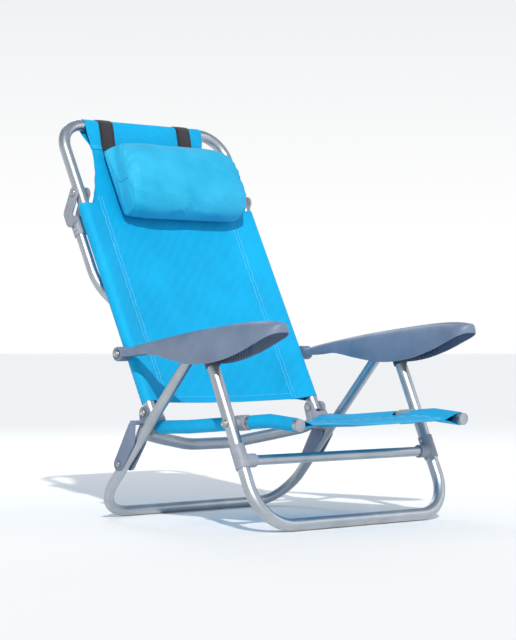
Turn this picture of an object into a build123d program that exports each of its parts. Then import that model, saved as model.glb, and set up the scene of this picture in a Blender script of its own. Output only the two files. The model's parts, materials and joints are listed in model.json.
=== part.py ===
from build123d import *

import math
import os

# Folding beach chair with a sling seat, a reclining sling back, racked armrests and a rear stand.
# Millimetres. The seat width runs along X, the front of the chair faces -Y, +Z is up.
# The origin is on the ground, midway between the front and rear floor bars.

# Tubes
leg_tube_radius = 12.5
rear_tube_radius = 11.0
crossbar_radius = 10.0
stand_tube_radius = 11.0
tube_wall = 1.2

# Widths, from the middle of the chair to each tube's axis
leg_half_width = 270.0
seat_half_width = 235.0

# Side view points, as (Y, Z)
front_foot = (-250.0, leg_tube_radius)
rear_foot = (250.0, rear_tube_radius)
leg_apex = (-86.0, 379.5)
leg_pin_height = 357.0
seat_front_end = (-319.0, 208.5)
seat_front_bend = (-240.0, 215.0)
seat_mid_bend = (-3.0, 196.5)
seat_rear_bend = (112.0, 192.0)
seat_pivot_y = -161.7
bow_corner = (140.0, 178.0)
bow_shoulder = (168.0, 162.5)
bow_bottom = (192.0, 148.0)
back_pivot = (112.5, 222.0)
back_angle = 63.1
back_length = 688.0
link_foot = (155.5, 116.4)

# Bends
floor_bend = 85.0
back_corner_bend = 65.0
stand_bend = 105.0
bow_corner_bend = 30.0
bow_shoulder_bend = 90.0
bow_bottom_bend = 170.0
seat_bend = 120.0

# Fits
running_gap = 0.05
seat_gap = 0.1
moving_gap = 0.4

# Fasteners
pivot_radius = 4.0
head_radius = 8.0
head_height = 2.6
rivet_radius = 2.4
rivet_head_radius = 4.6

# Fabric
sling_thickness = 1.2
strap_width = 40.0
strap_thickness = 1.4
strap_offset = 112.0

# Moulded parts
cheek_thickness = 4.0
ear_radius = 14.0
collar_radius = 15.4
collar_length = 32.0
socket_radius = 15.0


def along(start, end, fraction):
    return tuple(a + (b - a) * fraction for a, b in zip(start, end))


def at_height(start, end, height):
    return along(start, end, (height - start[1]) / (end[1] - start[1]))


def heading(start, end):
    return math.atan2(end[1] - start[1], end[0] - start[0])


def step(point, angle, distance):
    return (point[0] + distance * math.cos(angle), point[1] + distance * math.sin(angle))


def at(x, point):
    return (x, point[0], point[1])


def tube_along(points, bends, radius, wall=tube_wall, mode=Mode.ADD):
    """Sweep a round tube along a filleted path; a wall of 0 makes a solid rod."""
    with BuildLine() as route:
        FilletPolyline(*points, radius=bends)
    with BuildSketch(Plane(origin=route.line @ 0, z_dir=route.line % 0)) as section:
        Circle(radius)
        if wall > 0:
            Circle(radius - wall, mode=Mode.SUBTRACT)
    sweep(section.sketch, path=route.line, mode=mode)


def peg(point, x_from, x_to, radius, side=1, mode=Mode.ADD):
    """A round peg along X at a side view point, on one side of the chair."""
    with BuildSketch(Plane.YZ.offset(side * x_from)) as section:
        with Locations(point):
            Circle(radius)
    extrude(section.sketch, amount=side * (x_to - x_from), mode=mode)


def rod_between(x, start, end, radius, mode=Mode.ADD):
    """A solid round rod between two side view points, in the plane at x."""
    a = Vector(*at(x, start))
    b = Vector(*at(x, end))
    with BuildSketch(Plane(origin=a, z_dir=(b - a).normalized())) as section:
        Circle(radius)
    extrude(section.sketch, amount=(b - a).length, mode=mode)


def both_sides():
    mirror(about=Plane.YZ, mode=Mode.ADD)


# Worked out from the sizes above
front_direction = heading(front_foot, leg_apex)
rear_direction = heading(rear_foot, leg_apex)
front_leg_pin = at_height(front_foot, leg_apex, leg_pin_height)
rear_leg_pin = at_height(rear_foot, leg_apex, leg_pin_height)
crossbar_point = along(front_foot, leg_apex, 0.34)
seat_slope = (seat_mid_bend[1] - seat_front_bend[1]) / (seat_mid_bend[0] - seat_front_bend[0])
seat_pivot = (seat_pivot_y, seat_front_bend[1] + (seat_pivot_y - seat_front_bend[0]) * seat_slope)
back_direction = math.radians(back_angle)
back_top = step(back_pivot, back_direction, back_length)


def up_back(distance, forward=0.0):
    """A side view point at a distance up the back tubes and in front of their plane."""
    return step(step(back_pivot, back_direction, distance), back_direction + math.pi / 2, forward)


def back_side_plane(x):
    """Side view of the back: local x runs up the back, local y points forward."""
    direction = (0, math.cos(back_direction), math.sin(back_direction))
    return Plane(origin=at(x, back_pivot), x_dir=direction, z_dir=(1, 0, 0))


back_face_plane = Plane(
    origin=at(0, back_pivot),
    x_dir=(1, 0, 0),
    z_dir=(0, -math.sin(back_direction), math.cos(back_direction)),
)


# Seat frame ------------------------------------------------------------------------------------
seat_side = [seat_front_end, seat_front_bend, seat_mid_bend, seat_rear_bend, bow_corner]
bow_half = [(150.0, bow_shoulder), (62.0, bow_bottom)]


def seat_path():
    right = [at(seat_half_width, p) for p in seat_side] + [at(x, p) for x, p in bow_half]
    left = [(-x, y, z) for x, y, z in reversed(right)]
    return right + left


seat_bends = [seat_bend, seat_bend, 36.0, bow_corner_bend, bow_shoulder_bend, bow_bottom_bend]
seat_bends = seat_bends + seat_bends[::-1]
hinge_rivet = along(seat_mid_bend, seat_rear_bend, 0.87)
tube_inner = seat_half_width - leg_tube_radius
tube_outer = seat_half_width + leg_tube_radius

with BuildPart() as seat_frame_tube:
    tube_along(seat_path(), seat_bends, leg_tube_radius)
    peg(seat_pivot, tube_inner - 1, tube_outer + 1, pivot_radius, mode=Mode.SUBTRACT)
    peg(seat_pivot, tube_inner - 1, tube_outer + 1, pivot_radius, side=-1, mode=Mode.SUBTRACT)
    peg(hinge_rivet, tube_inner - 1, tube_outer + 1, rivet_radius, mode=Mode.SUBTRACT)
    peg(hinge_rivet, tube_inner - 1, tube_outer + 1, rivet_radius, side=-1, mode=Mode.SUBTRACT)

# Plugs in the open front ends of the seat tubes
plug_cap = 3.0
plug_stem = 18.0
plug_direction = heading(seat_front_bend, seat_front_end)
with BuildPart() as seat_end_plugs:
    cap_end = step(seat_front_end, plug_direction, plug_cap)
    stem_end = step(seat_front_end, plug_direction, -plug_stem)
    rod_between(seat_half_width, seat_front_end, cap_end, leg_tube_radius)
    rod_between(seat_half_width, seat_front_end, stem_end, leg_tube_radius - tube_wall - running_gap)
    both_sides()

# Hinge mouldings that clamp the seat tube and carry the back's pivot between two ears
hinge_inner = tube_inner - 5.0
hinge_outer = tube_outer + 4.7
slot_gap = 1.0
slot_drop = 8.0
back_tail = 9.0
hinge_slot_radius = math.hypot(back_tail, leg_tube_radius) + slot_gap


def seat_hinge(side):
    with BuildPart() as hinge:
        with BuildSketch(Plane.YZ.offset(side * hinge_inner)) as outline:
            with Locations(back_pivot):
                Circle(ear_radius)
            with Locations(along(seat_mid_bend, seat_rear_bend, 0.9)):
                Rectangle(24, 2 * leg_tube_radius + 7)
            make_hull()
        extrude(outline.sketch, amount=side * (hinge_outer - hinge_inner))
        slot_from = tube_inner - slot_gap
        slot_to = tube_outer + slot_gap
        peg(back_pivot, slot_from, slot_to, hinge_slot_radius, side, Mode.SUBTRACT)
        with BuildSketch(Plane.YZ.offset(side * slot_from)) as above:
            with Locations((back_pivot[0], back_pivot[1] + ear_radius - slot_drop)):
                Rectangle(4 * ear_radius, 2 * ear_radius)
        extrude(above.sketch, amount=side * (slot_to - slot_from), mode=Mode.SUBTRACT)
        side_path = [at(side * seat_half_width, p) for p in seat_side]
        side_path = side_path + [at(side * x, p) for x, p in bow_half]
        tube_along(side_path, seat_bends[:5], leg_tube_radius + seat_gap, 0, Mode.SUBTRACT)
        peg(back_pivot, hinge_inner - 1, hinge_outer + 1, pivot_radius + running_gap, side, Mode.SUBTRACT)
        peg(hinge_rivet, hinge_inner - 1, hinge_outer + 1, rivet_radius, side, Mode.SUBTRACT)
    return hinge


right_seat_hinge = seat_hinge(1)
left_seat_hinge = seat_hinge(-1)

with BuildPart() as seat_hinge_rivets:
    peg(hinge_rivet, hinge_inner, hinge_outer, rivet_radius)
    peg(hinge_rivet, hinge_inner - 1.4, hinge_inner, rivet_head_radius)
    both_sides()

# Collars and bolts where the front legs pivot on the seat
leg_inner = leg_half_width - leg_tube_radius
leg_outer = leg_half_width + leg_tube_radius
with BuildPart() as seat_pivot_collars:
    slope = heading(seat_front_bend, seat_mid_bend)
    collar_ends = [step(seat_pivot, slope, s * collar_length / 2) for s in (-1, 1)]
    rod_between(seat_half_width, *collar_ends, collar_radius)
    peg(seat_pivot, tube_outer, leg_inner - moving_gap, 7.5)
    rod_between(seat_half_width, *collar_ends, leg_tube_radius + seat_gap, Mode.SUBTRACT)
    peg(seat_pivot, tube_inner - 6, leg_inner, pivot_radius, mode=Mode.SUBTRACT)
    both_sides()

with BuildPart() as seat_pivot_bolts:
    peg(seat_pivot, tube_inner - 3.5, leg_outer + moving_gap, pivot_radius)
    peg(seat_pivot, leg_outer + moving_gap, leg_outer + moving_gap + head_height, head_radius)
    peg(seat_pivot, tube_inner - 6.5, tube_inner - 3.0, head_radius - 1.5)
    edges_out = seat_pivot_bolts.edges().filter_by(GeomType.CIRCLE).sort_by(Axis.X)[-1]
    fillet(edges_out, 1.4)
    both_sides()

# Seat sling: a flat sheet at the tubes' axes, with a sleeve round each side tube
sleeve_radius = leg_tube_radius + seat_gap + sling_thickness
seat_sling_front = -310.0
seat_sling_rear = 86.0
collar_cutout = 27.0
sheet_half_width = seat_half_width - leg_tube_radius - seat_gap / 2


def on_seat(y):
    """Height of the seat tubes' axis at a given Y."""
    line = [seat_front_end, seat_front_bend, seat_mid_bend, seat_rear_bend]
    for a, b in zip(line, line[1:]):
        if y <= b[0]:
            break
    return (y, a[1] + (b[1] - a[1]) * (y - a[0]) / (b[0] - a[0]))


with BuildPart() as seat_sling:
    stations = [seat_sling_front, seat_front_bend[0], seat_mid_bend[0], seat_sling_rear]
    middle = [on_seat(y) for y in stations]
    half = sling_thickness / 2
    upper = [(y, z + half) for y, z in middle]
    lower = [(y, z - half) for y, z in reversed(middle)]
    with BuildSketch(Plane.YZ.offset(-sheet_half_width)) as sheet:
        with BuildLine():
            Polyline(*upper, *lower, close=True)
        make_face()
    extrude(sheet.sketch, amount=2 * sheet_half_width)
    for side in (1, -1):
        sleeve = [at(side * seat_half_width, p) for p in middle]
        tube_along(sleeve, [seat_bend, seat_bend], sleeve_radius, sling_thickness)
    notch_bottom = seat_pivot[1] - 2 * leg_tube_radius
    for side in (1, -1):
        with BuildSketch(Plane.XY.offset(notch_bottom)) as notch:
            with Locations((side * (seat_half_width + 4), seat_pivot[0])):
                Ellipse(38, collar_cutout)
        extrude(notch.sketch, amount=4 * leg_tube_radius, mode=Mode.SUBTRACT)

# Front legs ------------------------------------------------------------------------------------
front_tube_end = step(front_leg_pin, front_direction, -10)
rear_tube_end = step(rear_leg_pin, rear_direction, -14)


def leg_path(half_width, top, foot):
    return [at(half_width, top), at(half_width, foot), at(-half_width, foot), at(-half_width, top)]


with BuildPart() as front_leg_tube:
    tube_along(leg_path(leg_half_width, front_tube_end, front_foot), [floor_bend] * 2, leg_tube_radius)
    for side in (1, -1):
        peg(seat_pivot, leg_inner - 1, leg_outer + 1, pivot_radius + running_gap, side, Mode.SUBTRACT)

# Knuckles: a socket on each front leg's top, and two cheeks that hold the rear leg
knuckle_inner = 252.0
knuckle_outer = 288.0
tongue_half = 7.0
tongue_radius = 8.0
tongue_neck = 12.0
with BuildPart() as front_leg_knuckles:
    with BuildSketch(Plane.YZ.offset(knuckle_inner)) as cheek:
        with Locations(front_leg_pin):
            Circle(tongue_radius + 3)
        with Locations(rear_leg_pin):
            Circle(tongue_radius)
        make_hull()
    extrude(cheek.sketch, amount=knuckle_outer - knuckle_inner)
    rod_between(leg_half_width, front_leg_pin, step(front_leg_pin, front_direction, -42), socket_radius)
    rod_between(
        leg_half_width,
        front_tube_end,
        step(front_leg_pin, front_direction, -43),
        leg_tube_radius + seat_gap,
        Mode.SUBTRACT,
    )
    fork_from = leg_half_width - tongue_half - moving_gap
    fork_to = leg_half_width + tongue_half + moving_gap
    peg(rear_leg_pin, fork_from, fork_to, tongue_radius + 6, mode=Mode.SUBTRACT)
    peg(rear_leg_pin, knuckle_inner - 1, knuckle_outer + 1, 3.0, mode=Mode.SUBTRACT)
    both_sides()

with BuildPart() as rear_leg_pivot_pins:
    peg(rear_leg_pin, knuckle_inner - 1.2, knuckle_outer + 1.2, 3.0)
    both_sides()

# Crossbar with its two saddle sockets and their screws
socket_low = step(crossbar_point, front_direction, -16)
socket_high = step(crossbar_point, front_direction, 32)
socket_screw = step(crossbar_point, front_direction, 23)
cup_radius = 13.6
cup_inner = 236.0
crossbar_end = 250.0
with BuildPart() as front_crossbar:
    ends = [at(x, crossbar_point) for x in (-crossbar_end, crossbar_end)]
    with BuildSketch(Plane(origin=ends[0], z_dir=(1, 0, 0))) as ring:
        Circle(crossbar_radius)
        Circle(crossbar_radius - tube_wall, mode=Mode.SUBTRACT)
    extrude(ring.sketch, amount=2 * crossbar_end)

with BuildPart() as crossbar_sockets:
    rod_between(leg_half_width, socket_low, socket_high, socket_radius)
    peg(crossbar_point, cup_inner, leg_half_width, cup_radius)
    rod_between(
        leg_half_width,
        step(crossbar_point, front_direction, -20),
        step(crossbar_point, front_direction, 36),
        leg_tube_radius + seat_gap,
        Mode.SUBTRACT,
    )
    peg(crossbar_point, cup_inner - 1, crossbar_end, crossbar_radius + running_gap, mode=Mode.SUBTRACT)
    peg(socket_screw, leg_half_width - socket_radius - 1, leg_half_width, 2.0, mode=Mode.SUBTRACT)
    both_sides()

with BuildPart() as crossbar_screws:
    screw_face = leg_half_width - socket_radius
    peg(socket_screw, screw_face - 1.0, leg_inner - seat_gap, 2.0)
    peg(socket_screw, screw_face - 3.0, screw_face - 0.6, 4.2)
    both_sides()

# Rear legs -------------------------------------------------------------------------------------
rear_inner = leg_half_width - rear_tube_radius
rear_outer = leg_half_width + rear_tube_radius
with BuildPart() as rear_leg_tube:
    tube_along(leg_path(leg_half_width, rear_tube_end, rear_foot), [floor_bend] * 2, rear_tube_radius)

# Plugs with an eye, pressed into the tops of the rear legs
with BuildPart() as rear_leg_plugs:
    plug_radius = rear_tube_radius - tube_wall - running_gap
    rod_between(leg_half_width, rear_tube_end, step(rear_tube_end, rear_direction, -24), plug_radius)
    with BuildSketch(Plane.YZ.offset(leg_half_width - tongue_half)) as tongue:
        with Locations(rear_leg_pin):
            Circle(tongue_radius)
        with Locations(step(rear_tube_end, rear_direction, 1)):
            Rectangle(2, tongue_neck, rotation=math.degrees(rear_direction))
        make_hull()
    extrude(tongue.sketch, amount=2 * tongue_half)
    peg(rear_leg_pin, leg_half_width - 9, leg_half_width + 9, 3.0 + running_gap, mode=Mode.SUBTRACT)
    both_sides()

# Links from the rear legs up to the back's pivot -------------------------------------------------
link_inner = hinge_outer + moving_gap
link_outer = rear_outer + 6.5
link_waist = (120.0, 165.0)
link_head = (115.0, 194.0)
link_web = (111.0, 202.5)


def link(side):
    with BuildPart() as moulding:
        with BuildSketch(Plane.YZ.offset(side * link_inner)) as outline:
            for point, radius in ((link_foot, 14.0), (link_waist, 13.0), (link_head, 9.5)):
                with Locations(point):
                    Circle(radius)
            make_hull()
        extrude(outline.sketch, amount=side * (link_outer - link_inner))
        gap_from = link_inner + cheek_thickness
        gap_to = link_outer - cheek_thickness
        with BuildSketch(Plane.YZ.offset(side * gap_from)) as gap:
            with Locations(((link_foot[0] + link_head[0]) / 2, (link_foot[1] + link_head[1]) / 2)):
                Rectangle(160, 160)
        extrude(gap.sketch, amount=side * (gap_to - gap_from), mode=Mode.SUBTRACT)
        with BuildSketch(Plane.YZ.offset(side * link_inner)) as neck:
            with Locations(back_pivot):
                Circle(ear_radius - 1)
            with Locations(link_head):
                Circle(9.5)
            make_hull()
        extrude(neck.sketch, amount=side * cheek_thickness)
        with BuildSketch(Plane.YZ.offset(side * link_inner)) as web:
            with Locations(link_web):
                Rectangle(15, 9)
            fillet(web.vertices(), 3)
        extrude(web.sketch, amount=side * (link_outer - link_inner))
        peg(back_pivot, link_inner - 1, link_inner + 10, pivot_radius + running_gap, side, Mode.SUBTRACT)
        for x_from, x_to in ((link_inner - 1, gap_from + 1), (gap_to - 1, link_outer + 1)):
            peg(link_foot, x_from, x_to, 3.0, side, Mode.SUBTRACT)
    return moulding


right_link = link(1)
left_link = link(-1)

with BuildPart() as link_screws:
    screw_gap = 0.8
    peg(link_foot, link_inner, rear_inner - screw_gap, 3.0)
    peg(link_foot, rear_outer + screw_gap, link_outer, 3.0)
    peg(link_foot, link_outer, link_outer + 2.0, 6.0)
    both_sides()

# Pins on which the back and the links turn
with BuildPart() as back_pivot_pins:
    pin_outer = link_inner + cheek_thickness + moving_gap
    peg(back_pivot, hinge_inner - moving_gap, pin_outer, pivot_radius)
    peg(back_pivot, hinge_inner - moving_gap - 2.2, hinge_inner - moving_gap, head_radius - 1)
    peg(back_pivot, pin_outer, pin_outer + 1.8, head_radius - 1)
    both_sides()

# Back --------------------------------------------------------------------------------------------
armrest_pivot_distance = 133.9
stand_pivot_distance = 515.6
back_plug_cap = 2.0
sling_bottom = 22.0
sleeve_top = 496.0
armrest_pivot = up_back(armrest_pivot_distance)
stand_pivot = up_back(stand_pivot_distance)
back_tube_end = up_back(-(back_tail - back_plug_cap))

with BuildPart() as back_frame_tube:
    tube_along(
        leg_path(seat_half_width, back_tube_end, back_top),
        [back_corner_bend] * 2,
        leg_tube_radius,
    )
    for point in (back_pivot, stand_pivot):
        for side in (1, -1):
            hole = pivot_radius + running_gap
            peg(point, tube_inner - 1, tube_outer + 1, hole, side, Mode.SUBTRACT)
    for side in (1, -1):
        hole = pivot_radius + running_gap
        peg(armrest_pivot, seat_half_width, tube_outer + 1, hole, side, Mode.SUBTRACT)

with BuildPart() as back_end_plugs:
    rod_between(seat_half_width, back_tube_end, up_back(-back_tail), leg_tube_radius)
    stem = leg_tube_radius - tube_wall - running_gap
    rod_between(seat_half_width, back_tube_end, up_back(-pivot_radius - 0.6), stem)
    both_sides()

# Back sling: a sheet between the tubes, sleeves on their lower two thirds, and a hem round the top
band_half_width = 168.0
band_waist = (160.0, 630.0)
cutout_middle = (172.0, 577.0)
cutout_bottom = (208.0, 501.0)
hem_seam = 640.0
hem_gap = seat_gap
with BuildPart() as back_sling:
    with BuildSketch(back_face_plane) as sheet:
        with BuildLine() as edge:
            band_top = (band_half_width, hem_seam + 20)
            Polyline((0, sling_bottom), (sheet_half_width, sling_bottom), (sheet_half_width, sleeve_top))
            Spline((sheet_half_width, sleeve_top), cutout_bottom, cutout_middle, band_waist, band_top)
            Line(band_top, (0, band_top[1]))
            mirror(about=Plane.YZ)
        make_face()
    extrude(sheet.sketch, amount=sling_thickness / 2, both=True)
    for side in (1, -1):
        ends = [at(side * seat_half_width, up_back(s)) for s in (sling_bottom, sleeve_top)]
        with BuildSketch(Plane(origin=ends[0], z_dir=Vector(*ends[1]) - Vector(*ends[0]))) as sleeve:
            Circle(sleeve_radius)
            Circle(sleeve_radius - sling_thickness, mode=Mode.SUBTRACT)
        extrude(sleeve.sketch, amount=sleeve_top - sling_bottom)
    with BuildSketch(back_side_plane(-band_half_width)) as hem:
        with Locations((back_length, 0)):
            Circle(leg_tube_radius + hem_gap + sling_thickness)
        with Locations((hem_seam, 0)):
            Circle(sling_thickness / 2)
        make_hull()
        with Locations((back_length, 0)):
            Circle(leg_tube_radius + hem_gap, mode=Mode.SUBTRACT)
    extrude(hem.sketch, amount=2 * band_half_width)
    for side in (1, -1):
        peg(armrest_pivot, seat_half_width, tube_outer + 4, head_radius + 2, side, Mode.SUBTRACT)

# Webbing straps that loop over the top bar and run down behind the pillow
strap_tail = 590.0


def strap(side):
    with BuildPart() as webbing:
        inner = leg_tube_radius + hem_gap + sling_thickness + seat_gap
        seam = sling_thickness / 2 + seat_gap
        with BuildSketch(back_side_plane(side * strap_offset - strap_width / 2)) as loop:
            for reach, mode in ((strap_thickness, Mode.ADD), (0, Mode.SUBTRACT)):
                with BuildSketch(mode=Mode.PRIVATE) as ring:
                    with Locations((back_length, 0)):
                        Circle(inner + reach)
                    with Locations((hem_seam, 0)):
                        Circle(seam + reach)
                    make_hull()
                add(ring.sketch, mode=mode)
            with Locations((hem_seam, 0)):
                Rectangle(2 * leg_tube_radius, 2 * seam, mode=Mode.SUBTRACT)
            with Locations(((strap_tail + hem_seam) / 2, seam + strap_thickness / 2)):
                Rectangle(hem_seam - strap_tail, strap_thickness)
        extrude(loop.sketch, amount=strap_width)
    return webbing


right_strap = strap(1)
left_strap = strap(-1)

# Armrests ------------------------------------------------------------------------------------------
armrest_inner = 240.0
armrest_outer = 300.0
armrest_wall = 3.0
arm_neck_inner = 250.3
arm_neck_outer = 276.5
arm_neck_end = 66.0
arm_wide_start = 24.0
arm_nose_start = -285.0
arm_tip = (-336.0, 390.0)
arm_heel = (184.0, 342.0)
arm_top = [arm_heel, (100.0, 363.5), (-43.0, 386.0), (-190.0, 403.0), (-285.0, 407.0), arm_tip]
arm_under = [arm_tip, (-300.0, 382.0), (-215.0, 346.0), (-150.0, 328.5), (-80.0, 323.0)]
arm_under = arm_under + [(0.0, 332.0), (75.0, 341.5), (140.0, 337.0), arm_heel]
rack_pitch = 7.0
rack_count = 16
rack_start = -94.0
rack_rib = 3.0
rack_height = 20.0
rack_depth = 3.6


def arm_plan(inset):
    """Outline of the right armrest from above: a narrow neck at the rear, a round nose in front."""
    with BuildLine() as outline:
        middle = (armrest_inner + armrest_outer) / 2
        left_edge = [(arm_neck_inner + inset, arm_heel[0] + 6 - inset)]
        left_edge += [(arm_neck_inner + inset, arm_neck_end), (armrest_inner + inset, arm_wide_start)]
        left_edge += [(armrest_inner + inset, arm_nose_start)]
        right_edge = [(arm_neck_outer - inset, arm_heel[0] + 6 - inset)]
        right_edge += [(arm_neck_outer - inset, arm_neck_end), (armrest_outer - inset, arm_wide_start)]
        right_edge += [(armrest_outer - inset, arm_nose_start)]
        Polyline(*left_edge)
        ThreePointArc(left_edge[-1], (middle, arm_tip[0] + inset), right_edge[-1])
        Polyline(*reversed(right_edge))
        Line(right_edge[0], left_edge[0])
    make_face(outline.edges())


def arm_under_height(y):
    line = arm_under[1:-1]
    for a, b in zip(line, line[1:]):
        if y <= b[0]:
            break
    return a[1] + (b[1] - a[1]) * (y - a[0]) / (b[0] - a[0])


with BuildPart() as arm_hollow:
    with BuildSketch(Plane.YZ.offset(armrest_inner)) as hollow_side:
        with BuildLine():
            ceiling = [(y, z - armrest_wall) for y, z in arm_top[1:-1]]
            ceiling = [(arm_heel[0] - 8, ceiling[0][1] - 14)] + ceiling
            Spline(*ceiling)
            floor_line = (ceiling[-1][0], 250.0)
            Polyline(ceiling[-1], floor_line, (ceiling[0][0], floor_line[1]), ceiling[0])
        make_face()
    extrude(hollow_side.sketch, amount=armrest_outer - armrest_inner)
    with BuildSketch(Plane.XY.offset(240)) as hollow_plan:
        arm_plan(armrest_wall)
    extrude(hollow_plan.sketch, amount=200, mode=Mode.INTERSECT)

with BuildPart() as right_armrest:
    with BuildSketch(Plane.YZ.offset(armrest_inner)) as arm_side:
        with BuildLine():
            Spline(*arm_top)
            Spline(*arm_under)
        make_face()
        with Locations(armrest_pivot):
            Circle(15)
    extrude(arm_side.sketch, amount=armrest_outer - armrest_inner)
    with BuildSketch(Plane.XY.offset(240)) as arm_outline:
        arm_plan(0)
    extrude(arm_outline.sketch, amount=200, mode=Mode.INTERSECT)
    add(arm_hollow.part, mode=Mode.SUBTRACT)
    peg(armrest_pivot, arm_neck_inner, arm_neck_outer, 9.0)
    for index in range(rack_count):
        rib_y = rack_start - index * rack_pitch
        rib_z = arm_under_height(rib_y) + 3 + rack_height / 2
        for x in (armrest_inner + armrest_wall, armrest_outer - armrest_wall):
            inward = rack_depth / 2 if x < leg_half_width else -rack_depth / 2
            with Locations((x + inward * 0.94, rib_y, rib_z)):
                Box(rack_depth, rack_rib, rack_height)
    peg(armrest_pivot, arm_neck_inner - 1, arm_neck_outer + 1, pivot_radius + running_gap, mode=Mode.SUBTRACT)

with BuildPart() as left_armrest:
    add(right_armrest.part.mirror(Plane.YZ))

with BuildPart() as armrest_bolts:
    bolt_outer = arm_neck_outer + moving_gap
    peg(armrest_pivot, seat_half_width, bolt_outer, pivot_radius)
    peg(armrest_pivot, bolt_outer, bolt_outer + head_height, head_radius)
    edges_out = armrest_bolts.edges().filter_by(GeomType.CIRCLE).sort_by(Axis.X)[-1]
    fillet(edges_out, 1.4)
    both_sides()

# Rear stand -------------------------------------------------------------------------------------
stand_offset = 38.0
stand_reach = 268.0
stand_top_gap = 46.0
stand_web_start = 41.0
stand_knee_reach = 30.0
stand_heel_reach = 48.0
stand_rivet_reach = 68.0
stand_socket_reach = 82.0
stand_bore_reach = 86.0
stand_gap_length = 100.0
stand_gap_width = 140.0
stand_cheek_radius = 13.0
stand_cheek_gap = 1.6
stand_cheek_inner = tube_inner - stand_cheek_gap - cheek_thickness
stand_cheek_outer = tube_outer + stand_cheek_gap + cheek_thickness
stand_top = up_back(stand_pivot_distance - stand_top_gap, -stand_offset)
stand_foot = up_back(stand_pivot_distance - stand_reach, -stand_offset)
stand_socket_end = up_back(stand_pivot_distance - stand_socket_reach, -stand_offset)
stand_rivet = up_back(stand_pivot_distance - stand_rivet_reach, -stand_offset)
stand_knee = up_back(stand_pivot_distance - stand_knee_reach, -stand_offset)
stand_heel = up_back(stand_pivot_distance - stand_heel_reach, -stand_offset)
stand_socket_radius = stand_tube_radius + 2.6
rivet_seat_depth = 0.8

with BuildPart() as stand_tube:
    tube_along(leg_path(seat_half_width, stand_top, stand_foot), [stand_bend] * 2, stand_tube_radius)
    for side in (1, -1):
        hole = rivet_radius
        rivet_from = seat_half_width - stand_tube_radius - 1
        peg(stand_rivet, rivet_from, seat_half_width + stand_tube_radius + 1, hole, side, Mode.SUBTRACT)


def stand_hinge(side):
    with BuildPart() as clevis:
        for centres in ((stand_pivot, stand_knee), (stand_knee, stand_heel)):
            with BuildSketch(Plane.YZ.offset(side * stand_cheek_inner)) as cheek:
                for centre in centres:
                    with Locations(centre):
                        Circle(stand_cheek_radius)
                make_hull()
            extrude(cheek.sketch, amount=side * (stand_cheek_outer - stand_cheek_inner))
        with BuildSketch(back_side_plane(side * (tube_inner - stand_cheek_gap))) as between:
            with Locations((stand_pivot_distance - stand_web_start + stand_gap_length / 2, 0)):
                Rectangle(stand_gap_length, stand_gap_width)
        extrude(between.sketch, amount=2 * (leg_tube_radius + stand_cheek_gap) * side, mode=Mode.SUBTRACT)
        slot_a = up_back(stand_pivot_distance + 30, 0)
        slot_b = up_back(stand_pivot_distance - 90, 0)
        rod_between(side * seat_half_width, slot_a, slot_b, leg_tube_radius + 2.2, Mode.SUBTRACT)
        outer_end = up_back(stand_pivot_distance - stand_web_start, -stand_offset)
        rod_between(side * seat_half_width, outer_end, stand_socket_end, stand_socket_radius)
        bore_end = up_back(stand_pivot_distance - stand_bore_reach, -stand_offset)
        rod_between(
            side * seat_half_width, stand_top, bore_end, stand_tube_radius + running_gap, Mode.SUBTRACT
        )
        peg(
            stand_pivot, stand_cheek_inner - 1, stand_cheek_outer + 1, pivot_radius, side, Mode.SUBTRACT
        )
        peg(
            stand_rivet,
            seat_half_width - stand_socket_radius - 1,
            seat_half_width + stand_socket_radius + 1,
            rivet_radius,
            side,
            Mode.SUBTRACT,
        )
        face = seat_half_width + stand_socket_radius
        peg(stand_rivet, face - rivet_seat_depth, face + 1, rivet_head_radius, side, Mode.SUBTRACT)
    return clevis


right_stand_hinge = stand_hinge(1)
left_stand_hinge = stand_hinge(-1)

with BuildPart() as stand_pivot_screws:
    peg(stand_pivot, stand_cheek_inner - 1.5, stand_cheek_outer + 0.5, pivot_radius)
    peg(stand_pivot, stand_cheek_outer, stand_cheek_outer + 2.0, head_radius - 2)
    both_sides()

with BuildPart() as stand_socket_rivets:
    rivet_inner = seat_half_width - stand_socket_radius
    rivet_outer = seat_half_width + stand_socket_radius
    peg(stand_rivet, rivet_inner - 1.2, rivet_outer, rivet_radius)
    peg(stand_rivet, rivet_outer - rivet_seat_depth, rivet_outer + 1.2, rivet_head_radius - 0.6)
    both_sides()

# Pillow ---------------------------------------------------------------------------------------------
pillow_low = 456.0
pillow_high = 638.0
pillow_length = 340.0
pillow_shift = 20.0
pillow_gap = sling_thickness / 2 + seat_gap + strap_thickness + moving_gap
pillow_depth = 76.0
with BuildPart() as pillow:
    middle = (pillow_low + pillow_high) / 2
    with BuildSketch(back_side_plane(pillow_shift - pillow_length / 2)) as bolster:
        with BuildLine():
            low = (pillow_low, pillow_gap)
            high = (pillow_high, pillow_gap)
            crown = (middle, pillow_gap + pillow_depth)
            flank = 0.62 * pillow_depth
            Spline(low, (pillow_low + 8, flank), crown, (pillow_high - 8, flank), high)
            Line(high, low)
        make_face()
    extrude(bolster.sketch, amount=pillow_length)

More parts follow.
